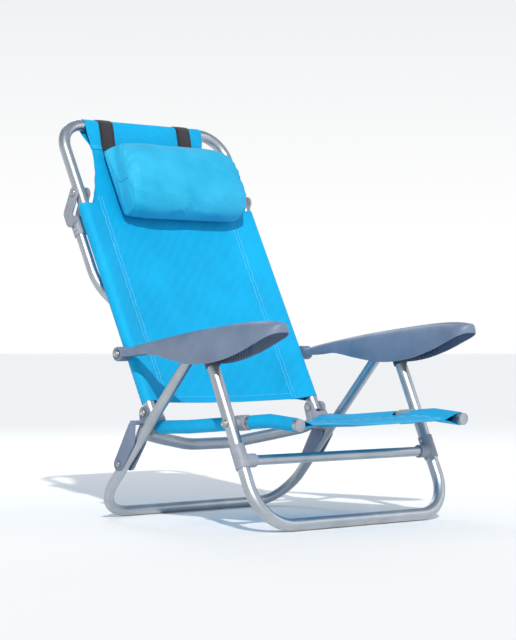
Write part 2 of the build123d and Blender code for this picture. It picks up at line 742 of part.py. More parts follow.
pieces = {
    "seat_frame_tube": seat_frame_tube,
    "seat_end_plugs": seat_end_plugs,
    "left_seat_hinge": left_seat_hinge,
    "right_seat_hinge": right_seat_hinge,
    "seat_hinge_rivets": seat_hinge_rivets,
    "seat_pivot_collars": seat_pivot_collars,
    "seat_pivot_bolts": seat_pivot_bolts,
    "seat_sling": seat_sling,
    "front_leg_tube": front_leg_tube,
    "front_leg_knuckles": front_leg_knuckles,
    "rear_leg_pivot_pins": rear_leg_pivot_pins,
    "front_crossbar": front_crossbar,
    "crossbar_sockets": crossbar_sockets,
    "crossbar_screws": crossbar_screws,
    "rear_leg_tube": rear_leg_tube,
    "rear_leg_plugs": rear_leg_plugs,
    "left_link": left_link,
    "right_link": right_link,
    "link_screws": link_screws,
    "back_pivot_pins": back_pivot_pins,
    "back_frame_tube": back_frame_tube,
    "back_end_plugs": back_end_plugs,
    "back_sling": back_sling,
    "left_strap": left_strap,
    "right_strap": right_strap,
    "left_armrest": left_armrest,
    "right_armrest": right_armrest,
    "armrest_bolts": armrest_bolts,
    "stand_tube": stand_tube,
    "left_stand_hinge": left_stand_hinge,
    "right_stand_hinge": right_stand_hinge,
    "stand_pivot_screws": stand_pivot_screws,
    "stand_socket_rivets": stand_socket_rivets,
    "pillow": pillow,
}

os.makedirs("parts", exist_ok=True)
for name, piece in pieces.items():
    piece.part.label = name
    export_step(piece.part, f"parts/{name}.step")
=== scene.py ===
import json
import math

import bmesh
import bpy
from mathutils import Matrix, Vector, noise


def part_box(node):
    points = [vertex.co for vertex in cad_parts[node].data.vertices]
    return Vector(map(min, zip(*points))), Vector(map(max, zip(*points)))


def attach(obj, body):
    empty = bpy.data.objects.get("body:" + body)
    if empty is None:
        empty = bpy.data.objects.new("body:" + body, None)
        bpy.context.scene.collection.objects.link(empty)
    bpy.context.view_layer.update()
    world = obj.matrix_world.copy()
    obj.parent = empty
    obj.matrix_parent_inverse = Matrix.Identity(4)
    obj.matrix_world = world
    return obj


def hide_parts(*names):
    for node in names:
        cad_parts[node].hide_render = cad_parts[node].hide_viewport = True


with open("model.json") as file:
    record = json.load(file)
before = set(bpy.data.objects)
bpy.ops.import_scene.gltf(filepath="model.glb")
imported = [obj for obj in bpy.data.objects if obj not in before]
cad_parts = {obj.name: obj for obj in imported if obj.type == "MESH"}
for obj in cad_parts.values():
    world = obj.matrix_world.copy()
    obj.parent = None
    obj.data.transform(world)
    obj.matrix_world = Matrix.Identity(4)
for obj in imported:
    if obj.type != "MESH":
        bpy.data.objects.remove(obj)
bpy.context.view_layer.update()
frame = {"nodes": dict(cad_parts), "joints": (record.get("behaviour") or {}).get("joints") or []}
nodes = frame["nodes"]
joints = {joint["name"]: joint for joint in frame["joints"]}

# Where things are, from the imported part. Metres: X across, -Y to the front, Z up.
seatPivot = Vector(joints["leg_fold"]["pos_m"])
backPivot = Vector(joints["back_fold"]["pos_m"])
armPivot = Vector(joints["armrest_fold"]["pos_m"])
standPivot = Vector(joints["stand_swing"]["pos_m"])
upBack = Vector(joints["pillow_slide"]["axis"])
ahead = Vector((0, -upBack.z, upBack.y))
tubeRadius = 0.0125
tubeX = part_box("seat_end_plugs")[1].x - tubeRadius
barUp = (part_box("back_frame_tube")[1].z - tubeRadius - backPivot.z) / upBack.z


def onBack(x, up, out=0.0):
    return backPivot + upBack * up + ahead * out + Vector((x, 0, 0))


def backPlace(point):
    # how far up the back and in front of its tubes a point is
    reach = Vector(point) - backPivot
    return reach.dot(upBack), reach.dot(ahead)


def smoothStep(value, low, high):
    share = min(1.0, max(0.0, (value - low) / (high - low)))
    return share * share * (3 - 2 * share)


def curveThrough(points, steps):
    # a smooth line through the points, with that many steps between each pair
    line = [Vector(p) for p in points]
    ends = [2 * line[0] - line[1]] + line + [2 * line[-1] - line[-2]]
    made = []
    for a, b, c, d in zip(ends, ends[1:], ends[2:], ends[3:]):
        for i in range(steps):
            t = i / steps
            made.append(0.5 * (2 * b + (c - a) * t + (2 * a - 5 * b + 4 * c - d) * t * t
                               + (3 * b - a - 3 * c + d) * t ** 3))
    return made + [line[-1]]


def heightAt(line, y):
    # line is sorted by falling y; straight between its close points
    for a, b in zip(line, line[1:]):
        if y >= b[0]:
            return a[1] + (b[1] - a[1]) * (y - a[0]) / (b[0] - a[0])
    return line[-1][1]


# Meshes

def newObject(name, points, faces, edges=()):
    mesh = bpy.data.meshes.new(name)
    mesh.from_pydata([tuple(p) for p in points], list(edges), faces)
    mesh.update()
    obj = bpy.data.objects.new(name, mesh)
    bpy.context.scene.collection.objects.link(obj)
    return obj


def addModifier(obj, kind, **settings):
    modifier = obj.modifiers.new(kind.lower(), kind)
    for key, value in settings.items():
        setattr(modifier, key, value)
    return modifier


def bake(obj):
    # what the modifiers make becomes the plain mesh
    graph = bpy.context.evaluated_depsgraph_get()
    mesh = bpy.data.meshes.new_from_object(
        obj.evaluated_get(graph), preserve_all_data_layers=True, depsgraph=graph)
    obj.modifiers.clear()
    obj.data = mesh
    return obj


def dropObject(obj):
    bpy.data.objects.remove(obj, do_unlink=True)


def smoothFaces(obj, angle=35):
    for polygon in obj.data.polygons:
        polygon.use_smooth = True
    obj.data.set_sharp_from_angle(angle=math.radians(angle))
    return obj


def joinPieces(name, pieces):
    # one object holding the meshes of all of them, UVs included
    target = pieces[0]
    if len(pieces) > 1:
        with bpy.context.temp_override(active_object=target, selected_editable_objects=pieces):
            bpy.ops.object.join()
    target.name = name
    target.data.name = name
    return target


def clothGrid(name, rows, across, lengthwise):
    # rows of points with their place on the flat cloth in metres as the UV
    wide = len(rows[0])
    faces = []
    for r in range(len(rows) - 1):
        for c in range(wide - 1):
            faces.append((r * wide + c, r * wide + c + 1, (r + 1) * wide + c + 1, (r + 1) * wide + c))
    obj = newObject(name, [p for row in rows for p in row], faces)
    layer = obj.data.uv_layers.new(name="cloth")
    for loop in obj.data.loops:
        r, c = divmod(loop.vertex_index, wide)
        layer.data[loop.index].uv = (across[c], lengthwise[r])
    return obj


def thicken(obj, thickness):
    addModifier(obj, "SOLIDIFY", thickness=thickness, offset=0.0, use_rim=True)
    return bake(obj)


def prism(name, outline, low, high):
    # a closed block: outline is a ring of points, low and high the shifts to its two ends
    count = len(outline)
    points = [p + low for p in outline] + [p + high for p in outline]
    faces = [tuple(range(count)), tuple(range(2 * count - 1, count - 1, -1))]
    for i in range(count):
        j = (i + 1) % count
        faces.append((j, i, i + count, j + count))
    obj = newObject(name, points, faces)
    work = bmesh.new()
    work.from_mesh(obj.data)
    bmesh.ops.recalc_face_normals(work, faces=work.faces)
    work.to_mesh(obj.data)
    work.free()
    return obj


def cutWith(obj, cutters):
    for cutter in cutters:
        addModifier(obj, "BOOLEAN", operation="DIFFERENCE", object=cutter, solver="EXACT")
    bake(obj)
    for cutter in cutters:
        dropObject(cutter)
    return obj


def lathe(name, profile, segments=32):
    # turns (radius, height) pairs round +Z, closed on the axis
    points, faces = [], []
    for radius, height in profile:
        for i in range(segments):
            a = 2 * math.pi * i / segments
            points.append((radius * math.cos(a), radius * math.sin(a), height))
    for r in range(len(profile) - 1):
        for i in range(segments):
            j = (i + 1) % segments
            faces.append((r * segments + i, r * segments + j, (r + 1) * segments + j, (r + 1) * segments + i))
    obj = newObject(name, points, faces)
    work = bmesh.new()
    work.from_mesh(obj.data)
    bmesh.ops.remove_doubles(work, verts=work.verts, dist=1e-6)
    bmesh.ops.holes_fill(work, edges=work.edges, sides=0)
    bmesh.ops.recalc_face_normals(work, faces=work.faces)
    work.to_mesh(obj.data)
    work.free()
    return smoothFaces(obj, 40)


# Materials

def linear(code):
    # sRGB hex to linear RGBA
    parts = [int(code[i:i + 2], 16) / 255 for i in (1, 3, 5)]
    return tuple(c / 12.92 if c <= 0.04045 else ((c + 0.055) / 1.055) ** 2.4 for c in parts) + (1.0,)


def addNode(tree, kind, inputs=None, **settings):
    node = tree.nodes.new(kind)
    for key, value in settings.items():
        setattr(node, key, value)
    for key, value in (inputs or {}).items():
        if isinstance(value, bpy.types.NodeSocket):
            tree.links.new(value, node.inputs[key])
        else:
            node.inputs[key].default_value = value
    return node


def waveScale(pitchMm):
    # wave texture scale for a pitch in mm
    return 1000 / pitchMm / 6.283 * 2


def startMaterial(name, shaderInputs):
    material = bpy.data.materials.new(name)
    material.use_nodes = True
    tree = material.node_tree
    tree.nodes.clear()
    shader = addNode(tree, "ShaderNodeBsdfPrincipled", shaderInputs)
    addNode(tree, "ShaderNodeOutputMaterial", {"Surface": shader.outputs[0]})
    return material, tree, shader


def mixColours(tree, share, first, second, blend="MIX"):
    node = addNode(tree, "ShaderNodeMix", data_type="RGBA", blend_type=blend)
    for index, value in ((0, share), (6, first), (7, second)):
        if isinstance(value, bpy.types.NodeSocket):
            tree.links.new(value, node.inputs[index])
        else:
            node.inputs[index].default_value = value
    return node.outputs[2]


def wearLook(name, look):
    # moulded or metal surface: slow colour drift, fine grain in the bump, gloss that varies a little
    material, tree, shader = startMaterial(name, {
        "Metallic": look["metallic"], "IOR": look["ior"], "Coat Weight": look.get("coat", 0.0)})
    where = addNode(tree, "ShaderNodeTexCoord").outputs["Object"]
    drift = addNode(tree, "ShaderNodeTexNoise", {
        "Vector": where, "Scale": 1000 / look["driftMm"], "Detail": 3.0, "Roughness": 0.6})
    spread = addNode(tree, "ShaderNodeMapRange", {
        "Value": drift.outputs["Fac"], "From Min": 0.35, "From Max": 0.65})
    colour = mixColours(tree, spread.outputs[0], linear(look["dark"]), linear(look["light"]))
    scuff = addNode(tree, "ShaderNodeTexNoise", {
        "Vector": where, "Scale": 1000 / look["scuffMm"], "Detail": 6.0, "Roughness": 0.75})
    marks = addNode(tree, "ShaderNodeMapRange", {
        "Value": scuff.outputs["Fac"], "From Min": 0.66, "From Max": 0.74, "To Max": look["scuffs"]})
    colour = mixColours(tree, marks.outputs[0], colour, linear(look["scuffed"]))
    tree.links.new(colour, shader.inputs["Base Color"])
    rough = addNode(tree, "ShaderNodeMapRange", {
        "Value": scuff.outputs["Fac"], "From Min": 0.3, "From Max": 0.7,
        "To Min": look["rough"][0], "To Max": look["rough"][1]})
    tree.links.new(rough.outputs[0], shader.inputs["Roughness"])
    grain = addNode(tree, "ShaderNodeTexNoise", {
        "Vector": where, "Scale": 1000 / look["grainMm"], "Detail": 2.0})
    bump = addNode(tree, "ShaderNodeBump", {
        "Height": grain.outputs["Fac"], "Strength": look["grain"], "Distance": 0.0004})
    tree.links.new(bump.outputs[0], shader.inputs["Normal"])
    return material


finishes = {
    # drawn tube, satin anodised: soft streaked highlights, no sharp reflections
    "aluminium_tube": {"name": "satinAnodisedAluminium", "metallic": 1.0, "ior": 1.5, "driftMm": 90,
                       "dark": "#a9afb6", "light": "#bcc1c7", "scuffMm": 9, "scuffs": 0.25,
                       "scuffed": "#dfe2e4", "rough": (0.36, 0.46), "grainMm": 1.2, "grain": 0.05},
    # zinc-plated steel screws and rivets: brighter, a little yellow, worn at the crown
    "steel_fastener": {"name": "zincPlatedSteel", "metallic": 1.0, "ior": 1.5, "driftMm": 6,
                       "dark": "#9c9d9c", "light": "#bdbdb9", "scuffMm": 2.5, "scuffs": 0.4,
                       "scuffed": "#dcdcd8", "rough": (0.25, 0.42), "grainMm": 0.8, "grain": 0.12},
    # injection-moulded polypropylene: waxy, slightly mottled, fine spark-eroded grain
    "grey_plastic": {"name": "mouldedGreyPolypropylene", "metallic": 0.0, "ior": 1.49, "driftMm": 30,
                     "dark": "#868c98", "light": "#979ea9", "scuffMm": 5, "scuffs": 0.35,
                     "scuffed": "#b9bec8", "rough": (0.42, 0.55), "grainMm": 1.5, "grain": 0.3},
    "slate_plastic": {"name": "mouldedSlatePolypropylene", "metallic": 0.0, "ior": 1.49, "driftMm": 70,
                      "dark": "#62718a", "light": "#6f7f98", "scuffMm": 8, "scuffs": 0.3,
                      "scuffed": "#98a3b6", "rough": (0.4, 0.5), "grainMm": 1.8, "grain": 0.28},
    # glass-filled nylon for the knuckles: darker, duller
    "dark_plastic": {"name": "glassFilledNylon", "metallic": 0.0, "ior": 1.53, "driftMm": 20,
                     "dark": "#383d46", "light": "#474d58", "scuffMm": 4, "scuffs": 0.35,
                     "scuffed": "#6a707b", "rough": (0.48, 0.6), "grainMm": 1.5, "grain": 0.35},
}
materials = {slot: wearLook(look["name"], look) for slot, look in finishes.items()}


def clothLook(name, look):
    # woven cloth on its own UV, in metres along the threads; a remeshed piece has only Object coordinates
    material, tree, shader = startMaterial(name, {
        "Roughness": look["rough"], "IOR": 1.46, "Sheen Weight": look["sheen"], "Sheen Roughness": 0.45,
        "Sheen Tint": linear(look["sheenTint"]), "Specular IOR Level": 0.2})
    coordinates = addNode(tree, "ShaderNodeTexCoord")
    where = coordinates.outputs["UV" if look["uv"] else "Object"]
    body = coordinates.outputs["Object"]
    drift = addNode(tree, "ShaderNodeTexNoise", {
        "Vector": body, "Scale": 1000 / look["driftMm"], "Detail": 4.0, "Roughness": 0.55})
    spread = addNode(tree, "ShaderNodeMapRange", {
        "Value": drift.outputs["Fac"], "From Min": 0.32, "From Max": 0.68})
    colour = mixColours(tree, spread.outputs[0], linear(look["dark"]), linear(look["light"]))
    # two layers of open weave make slow curved bands across the cloth
    bands = addNode(tree, "ShaderNodeTexWave", {
        "Vector": where, "Scale": waveScale(look["bandMm"]), "Distortion": 9.0, "Detail": 3.0,
        "Detail Scale": 0.35}, bands_direction="DIAGONAL")
    share = addNode(tree, "ShaderNodeMapRange", {
        "Value": bands.outputs["Fac"], "To Max": look["bands"]})
    colour = mixColours(tree, share.outputs[0], colour, linear(look["band"]))
    # threads, spaced as the real ones but drawn a little coarser so that they show
    threads = []
    for direction in ("X", "Y"):
        threads.append(addNode(tree, "ShaderNodeTexWave", {
            "Vector": where, "Scale": waveScale(look["threadMm"]), "Distortion": 0.4,
            "Detail": 1.0}, bands_direction=direction).outputs["Fac"])
    weave = addNode(tree, "ShaderNodeMath", {0: threads[0], 1: threads[1]}, operation="MULTIPLY")
    holes = addNode(tree, "ShaderNodeMapRange", {
        "Value": weave.outputs[0], "From Max": 0.35, "To Min": look["weaveShade"], "To Max": 0.0})
    colour = mixColours(tree, holes.outputs[0], colour, linear(look["deep"]))
    tree.links.new(colour, shader.inputs["Base Color"])
    fine = addNode(tree, "ShaderNodeBump", {
        "Height": weave.outputs[0], "Strength": look["weave"], "Distance": 0.0003})
    crease = addNode(tree, "ShaderNodeTexNoise", {
        "Vector": body, "Scale": 1000 / look["creaseMm"], "Detail": 5.0, "Roughness": 0.62,
        "Distortion": 0.8})
    folded = addNode(tree, "ShaderNodeBump", {
        "Height": crease.outputs["Fac"], "Strength": look["crease"], "Distance": 0.004,
        "Normal": fine.outputs[0]})
    tree.links.new(folded.outputs[0], shader.inputs["Normal"])
    return material


cloths = {
    # vinyl-coated polyester mesh, woven: bright flat colour with a soft bloom at grazing angles
    "blue_sling": {"name": "wovenBlueSlingCloth", "uv": True, "rough": 0.62, "sheen": 0.08,
                   "sheenTint": "#bfeeff", "driftMm": 120, "dark": "#009dd0", "light": "#02abe2",
                   "bandMm": 16, "bands": 0.14, "band": "#1cb6e6", "threadMm": 1.6, "weaveShade": 0.25,
                   "deep": "#0078b4", "weave": 0.35, "creaseMm": 60, "crease": 0.3},
    # tighter plain-woven polyester over a foam core: smoother and a little lighter
    "blue_pillow": {"name": "wovenBluePillowCloth", "uv": False, "rough": 0.55, "sheen": 0.1,
                    "sheenTint": "#c8f0ff", "driftMm": 90, "dark": "#1aa0ca", "light": "#30b0dc",
                    "bandMm": 30, "bands": 0.08, "band": "#3cb8e0", "threadMm": 1.4, "weaveShade": 0.15,
                    "deep": "#0a7eb4", "weave": 0.25, "creaseMm": 34, "crease": 0.35},
}
for slot, look in cloths.items():
    materials[slot] = clothLook(look["name"], look)


def webbingLook():
    # polypropylene webbing: near-black ribbed edges, a brownish-grey herringbone middle
    look = {"edge": "#141318", "middle": "#2e2a30", "ribMm": 1.8, "edgeFrom": 0.30, "edgeTo": 0.36}
    material, tree, shader = startMaterial("wovenBlackWebbing", {
        "Roughness": 0.7, "Sheen Weight": 0.2, "Sheen Roughness": 0.5})
    where = addNode(tree, "ShaderNodeTexCoord").outputs["UV"]
    axes = addNode(tree, "ShaderNodeSeparateXYZ", {0: where})
    side = addNode(tree, "ShaderNodeMath", {0: axes.outputs[0], 1: 1000 / 40}, operation="MULTIPLY")
    away = addNode(tree, "ShaderNodeMath", {0: side.outputs[0]}, operation="ABSOLUTE")
    edge = addNode(tree, "ShaderNodeMapRange", {
        "Value": away.outputs[0], "From Min": look["edgeFrom"], "From Max": look["edgeTo"]})
    colour = mixColours(tree, edge.outputs[0], linear(look["middle"]), linear(look["edge"]))
    ribs = addNode(tree, "ShaderNodeTexWave", {
        "Vector": where, "Scale": waveScale(look["ribMm"]), "Distortion": 0.6},
        bands_direction="Y")
    dim = addNode(tree, "ShaderNodeMapRange", {"Value": ribs.outputs["Fac"], "To Min": 0.5, "To Max": 0.0})
    colour = mixColours(tree, dim.outputs[0], colour, linear(look["edge"]))
    tree.links.new(colour, shader.inputs["Base Color"])
    bump = addNode(tree, "ShaderNodeBump", {
        "Height": ribs.outputs["Fac"], "Strength": 0.6, "Distance": 0.0005})
    tree.links.new(bump.outputs[0], shader.inputs["Normal"])
    return material


def threadLook():
    # bonded polyester thread, a shade lighter than the cloth
    material, tree, shader = startMaterial("paleBlueThread", {"Roughness": 0.6, "Sheen Weight": 0.2})
    where = addNode(tree, "ShaderNodeTexCoord").outputs["Object"]
    twist = addNode(tree, "ShaderNodeTexNoise", {"Vector": where, "Scale": 900.0, "Detail": 2.0})
    tree.links.new(mixColours(tree, twist.outputs["Fac"], linear("#6fcdf0"), linear("#b4e6f8")),
                   shader.inputs["Base Color"])
    return material


materials["black_webbing"] = webbingLook()
threadMaterial = threadLook()
print("materials ready")


def place(obj, body, slot, material=None, replaced=()):
    # the finish, the body it rides on and the CAD nodes it stands for
    obj.data.materials.clear()
    obj.data.materials.append(material or materials[slot])
    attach(obj, body)
    if replaced:
        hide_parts(*replaced)
    return obj


# Hard parts: each is a merged copy of its CAD node with softened edges

hardParts = {
    # node: (piece, body, slot, edge radius in mm)
    "seat_frame_tube": ("seatTube", "seat", "aluminium_tube", 0),
    "front_leg_tube": ("frontLegTube", "front_legs", "aluminium_tube", 0),
    "front_crossbar": ("crossbarTube", "front_legs", "aluminium_tube", 0),
    "rear_leg_tube": ("rearLegTube", "rear_legs", "aluminium_tube", 0),
    "back_frame_tube": ("backTube", "back", "aluminium_tube", 0),
    "stand_tube": ("standTube", "rear_stand", "aluminium_tube", 0),
    "seat_end_plugs": ("seatEndPlugs", "seat", "grey_plastic", 1.2),
    "left_seat_hinge": ("leftSeatHinge", "seat", "grey_plastic", 0.8),
    "right_seat_hinge": ("rightSeatHinge", "seat", "grey_plastic", 0.8),
    "seat_pivot_collars": ("seatCollars", "seat", "grey_plastic", 0.9),
    "crossbar_sockets": ("crossbarSockets", "front_legs", "grey_plastic", 0.8),
    "left_stand_hinge": ("leftStandHinge", "rear_stand", "grey_plastic", 0.8),
    "right_stand_hinge": ("rightStandHinge", "rear_stand", "grey_plastic", 0.8),
    "back_end_plugs": ("backEndPlugs", "back", "grey_plastic", 0.8),
    "left_link": ("leftLink", "links", "slate_plastic", 0.9),
    "right_link": ("rightLink", "links", "slate_plastic", 0.9),
    "front_leg_knuckles": ("frontLegKnuckles", "front_legs", "dark_plastic", 0.8),
    "rear_leg_plugs": ("rearLegPlugs", "rear_legs", "dark_plastic", 0.6),
    "seat_hinge_rivets": ("seatHingeRivets", "seat", "steel_fastener", 0.4),
    "seat_pivot_bolts": ("seatPivotBolts", "seat", "steel_fastener", 0.5),
    "rear_leg_pivot_pins": ("rearLegPins", "front_legs", "steel_fastener", 0.4),
    "crossbar_screws": ("crossbarScrews", "front_legs", "steel_fastener", 0.5),
    "link_screws": ("linkScrews", "links", "steel_fastener", 0.5),
    "back_pivot_pins": ("backPivotPins", "back_pins", "steel_fastener", 0.5),
    "armrest_bolts": ("armrestBolts", "arm_bolts", "steel_fastener", 0.5),
    "stand_pivot_screws": ("standScrews", "rear_stand", "steel_fastener", 0.5),
    "stand_socket_rivets": ("standRivets", "rear_stand", "steel_fastener", 0.4),
}


def softenedCopy(node, name, radius):
    source = nodes[node]
    obj = bpy.data.objects.new(name, source.data.copy())
    bpy.context.scene.collection.objects.link(obj)
    work = bmesh.new()
    work.from_mesh(obj.data)
    bmesh.ops.remove_doubles(work, verts=work.verts, dist=2e-6)
    bmesh.ops.dissolve_degenerate(work, edges=work.edges, dist=1e-6)
    if radius > 0:
        bmesh.ops.dissolve_limit(work, angle_limit=math.radians(0.5), verts=work.verts, edges=work.edges)
    work.to_mesh(obj.data)
    work.free()
    for label in [a.name for a in obj.data.attributes if a.name == "custom_normal"]:
        obj.data.attributes.remove(obj.data.attributes[label])
    if radius > 0:
        addModifier(obj, "BEVEL", width=radius / 1000, segments=2, limit_method="ANGLE",
                    angle_limit=math.radians(38), use_clamp_overlap=True, harden_normals=False)
        bake(obj)
    return smoothFaces(obj, 32)


for node, (name, body, slot, radius) in hardParts.items():
    place(softenedCopy(node, name, radius), body, slot, replaced=[node])
print("hard parts ready")


# Repeated details with Geometry Nodes

def newTree(name, inputs):
    tree = bpy.data.node_groups.new(name, "GeometryNodeTree")
    tree.interface.new_socket("Geometry", in_out="INPUT", socket_type="NodeSocketGeometry")
    for label, kind in inputs:
        tree.interface.new_socket(label, in_out="INPUT", socket_type=kind)
    tree.interface.new_socket("Geometry", in_out="OUTPUT", socket_type="NodeSocketGeometry")
    return tree, addNode(tree, "NodeGroupInput").outputs


def endTree(tree, geometry, material):
    # the export drops instances, so every tree ends in real faces with their material
    real = addNode(tree, "GeometryNodeRealizeInstances", {"Geometry": geometry})
    shaded = addNode(tree, "GeometryNodeSetShadeSmooth", {"Geometry": real.outputs[0]})
    finish = addNode(tree, "GeometryNodeSetMaterial", {"Geometry": shaded.outputs[0], "Material": material})
    addNode(tree, "NodeGroupOutput", {"Geometry": finish.outputs[0]})
    return tree


def stitchTree():
    # a small oval stitch every Pitch along each line, lying along it
    tree, given = newTree("stitchesAlongLine", [
        ("Pitch", "NodeSocketFloat"), ("Stitch Size", "NodeSocketVector"),
        ("Material", "NodeSocketMaterial")])
    line = addNode(tree, "GeometryNodeMeshToCurve", {"Mesh": given["Geometry"]})
    steps = addNode(tree, "GeometryNodeResampleCurve", {
        "Curve": line.outputs[0], "Length": given["Pitch"]}, mode="LENGTH")
    tangent = addNode(tree, "GeometryNodeInputTangent")
    turn = addNode(tree, "FunctionNodeAlignRotationToVector", {"Vector": tangent.outputs[0]}, axis="X")
    stitch = addNode(tree, "GeometryNodeMeshIcoSphere", {"Radius": 0.5, "Subdivisions": 1})
    spread = addNode(tree, "GeometryNodeInstanceOnPoints", {
        "Points": steps.outputs[0], "Instance": stitch.outputs[0], "Rotation": turn.outputs[0],
        "Scale": given["Stitch Size"]})
    return endTree(tree, spread.outputs[0], given["Material"])


def ribTree():
    # an upright rib every Pitch along each line
    tree, given = newTree("ribsAlongWall", [
        ("Pitch", "NodeSocketFloat"), ("Rib Size", "NodeSocketVector"), ("Material", "NodeSocketMaterial")])
    line = addNode(tree, "GeometryNodeMeshToCurve", {"Mesh": given["Geometry"]})
    steps = addNode(tree, "GeometryNodeResampleCurve", {
        "Curve": line.outputs[0], "Length": given["Pitch"]}, mode="LENGTH")
    rib = addNode(tree, "GeometryNodeMeshCube", {"Size": given["Rib Size"]})
    spread = addNode(tree, "GeometryNodeInstanceOnPoints", {
        "Points": steps.outputs[0], "Instance": rib.outputs[0]})
    real = addNode(tree, "GeometryNodeRealizeInstances", {"Geometry": spread.outputs[0]})
    finish = addNode(tree, "GeometryNodeSetMaterial", {
        "Geometry": real.outputs[0], "Material": given["Material"]})
    addNode(tree, "NodeGroupOutput", {"Geometry": finish.outputs[0]})
    return tree


def headTree():
    # one turned head on each point, its axis along the point's facing
    tree, given = newTree("headsOnPoints", [
        ("Head", "NodeSocketObject"), ("Material", "NodeSocketMaterial")])
    facing = addNode(tree, "GeometryNodeInputNamedAttribute", {"Name": "facing"}, data_type="FLOAT_VECTOR")
    turn = addNode(tree, "FunctionNodeAlignRotationToVector", {"Vector": facing.outputs[0]}, axis="Z")
    head = addNode(tree, "GeometryNodeObjectInfo", {"Object": given["Head"]})
    spread = addNode(tree, "GeometryNodeInstanceOnPoints", {
        "Points": given["Geometry"], "Instance": head.outputs["Geometry"], "Rotation": turn.outputs[0]})
    real = addNode(tree, "GeometryNodeRealizeInstances", {"Geometry": spread.outputs[0]})
    finish = addNode(tree, "GeometryNodeSetMaterial", {
        "Geometry": real.outputs[0], "Material": given["Material"]})
    addNode(tree, "NodeGroupOutput", {"Geometry": finish.outputs[0]})
    return tree


def growNodes(obj, tree, values):
    modifier = obj.modifiers.new("grow", "NODES")
    modifier.node_group = tree
    for item in tree.interface.items_tree:
        if item.in_out == "INPUT" and item.name in values:
            modifier[item.identifier] = values[item.name]
    return bake(obj)


trees = {"stitch": stitchTree(), "rib": ribTree(), "head": headTree()}


def lineMesh(name, lines):
    # several open lines as edges, for a tree to follow
    points, edges = [], []
    for line in lines:
        first = len(points)
        points += line
        edges += [(i, i + 1) for i in range(first, len(points) - 1)]
    return newObject(name, points, [], edges)


def sewLines(name, lines, body, slot, pitch=0.0052):
    stitches = growNodes(lineMesh(name, lines), trees["stitch"], {
        "Pitch": pitch, "Stitch Size": (0.0038, 0.0011, 0.0009), "Material": threadMaterial})
    return place(stitches, body, slot, threadMaterial)


# Cloth shapes

def sleeveSection(side, seam, radius, layerGap, hem=0.012, arcSteps=14):
    # section of a sheet's side sleeve, from the hem under the sheet, round the tube and back to the seam,
    # as (x, out); seam is the distance from the tube's axis to the seam
    touch = math.acos(radius / seam)
    section = [(tubeX - seam - hem, -layerGap), (tubeX - seam, -layerGap)]
    low = (tubeX - radius * math.cos(touch), -radius * math.sin(touch))
    for i in range(1, 6):
        t = i / 6
        section.append((section[1][0] + (low[0] - section[1][0]) * t, -layerGap + (low[1] + layerGap) * t))
    for i in range(arcSteps + 1):
        a = math.pi + touch + (2 * math.pi - 2 * touch) * i / arcSteps
        section.append((tubeX + radius * math.cos(a), radius * math.sin(a)))
    high = section[-1]
    for i in range(1, 6):
        t = i / 6
        section.append((high[0] + (tubeX - seam - high[0]) * t, high[1] * (1 - t)))
    section.append((tubeX - seam, 0.0))
    return [(side * x, out) for x, out in section]


def clothSection(seam, radius, layerGap, middleSteps=30):
    # the whole width: right sleeve, plain middle, left sleeve
    right = sleeveSection(1, seam, radius, layerGap)
    left = sleeveSection(-1, seam, radius, layerGap)[::-1]
    edge = tubeX - seam
    middle = [(edge - 2 * edge * i / middleSteps, 0.0) for i in range(1, middleSteps)]
    return right + middle + left


def runLength(points):
    runs = [0.0]
    for a, b in zip(points, points[1:]):
        runs.append(runs[-1] + math.dist(a, b))
    middle = runs[-1] / 2
    return [r - middle for r in runs], runs[-1]


def softRipple(x, y, size, height, seed):
    return height * noise.noise(Vector((x / size, y / size, seed)))


# Seat sling
seatSling = {
    "line": [(-0.310, 0.2091), (-0.240, 0.215), (-0.003, 0.1965), (0.086, 0.1930)],  # tube axis, as (y, z)
    "seam": 0.046, "layerGap": 0.0014, "thickness": 0.0012, "sag": 0.009, "rows": 72,
    "notch": (0.038, 0.027), "notchX": tubeX + 0.004, "ripple": 0.0016,
}


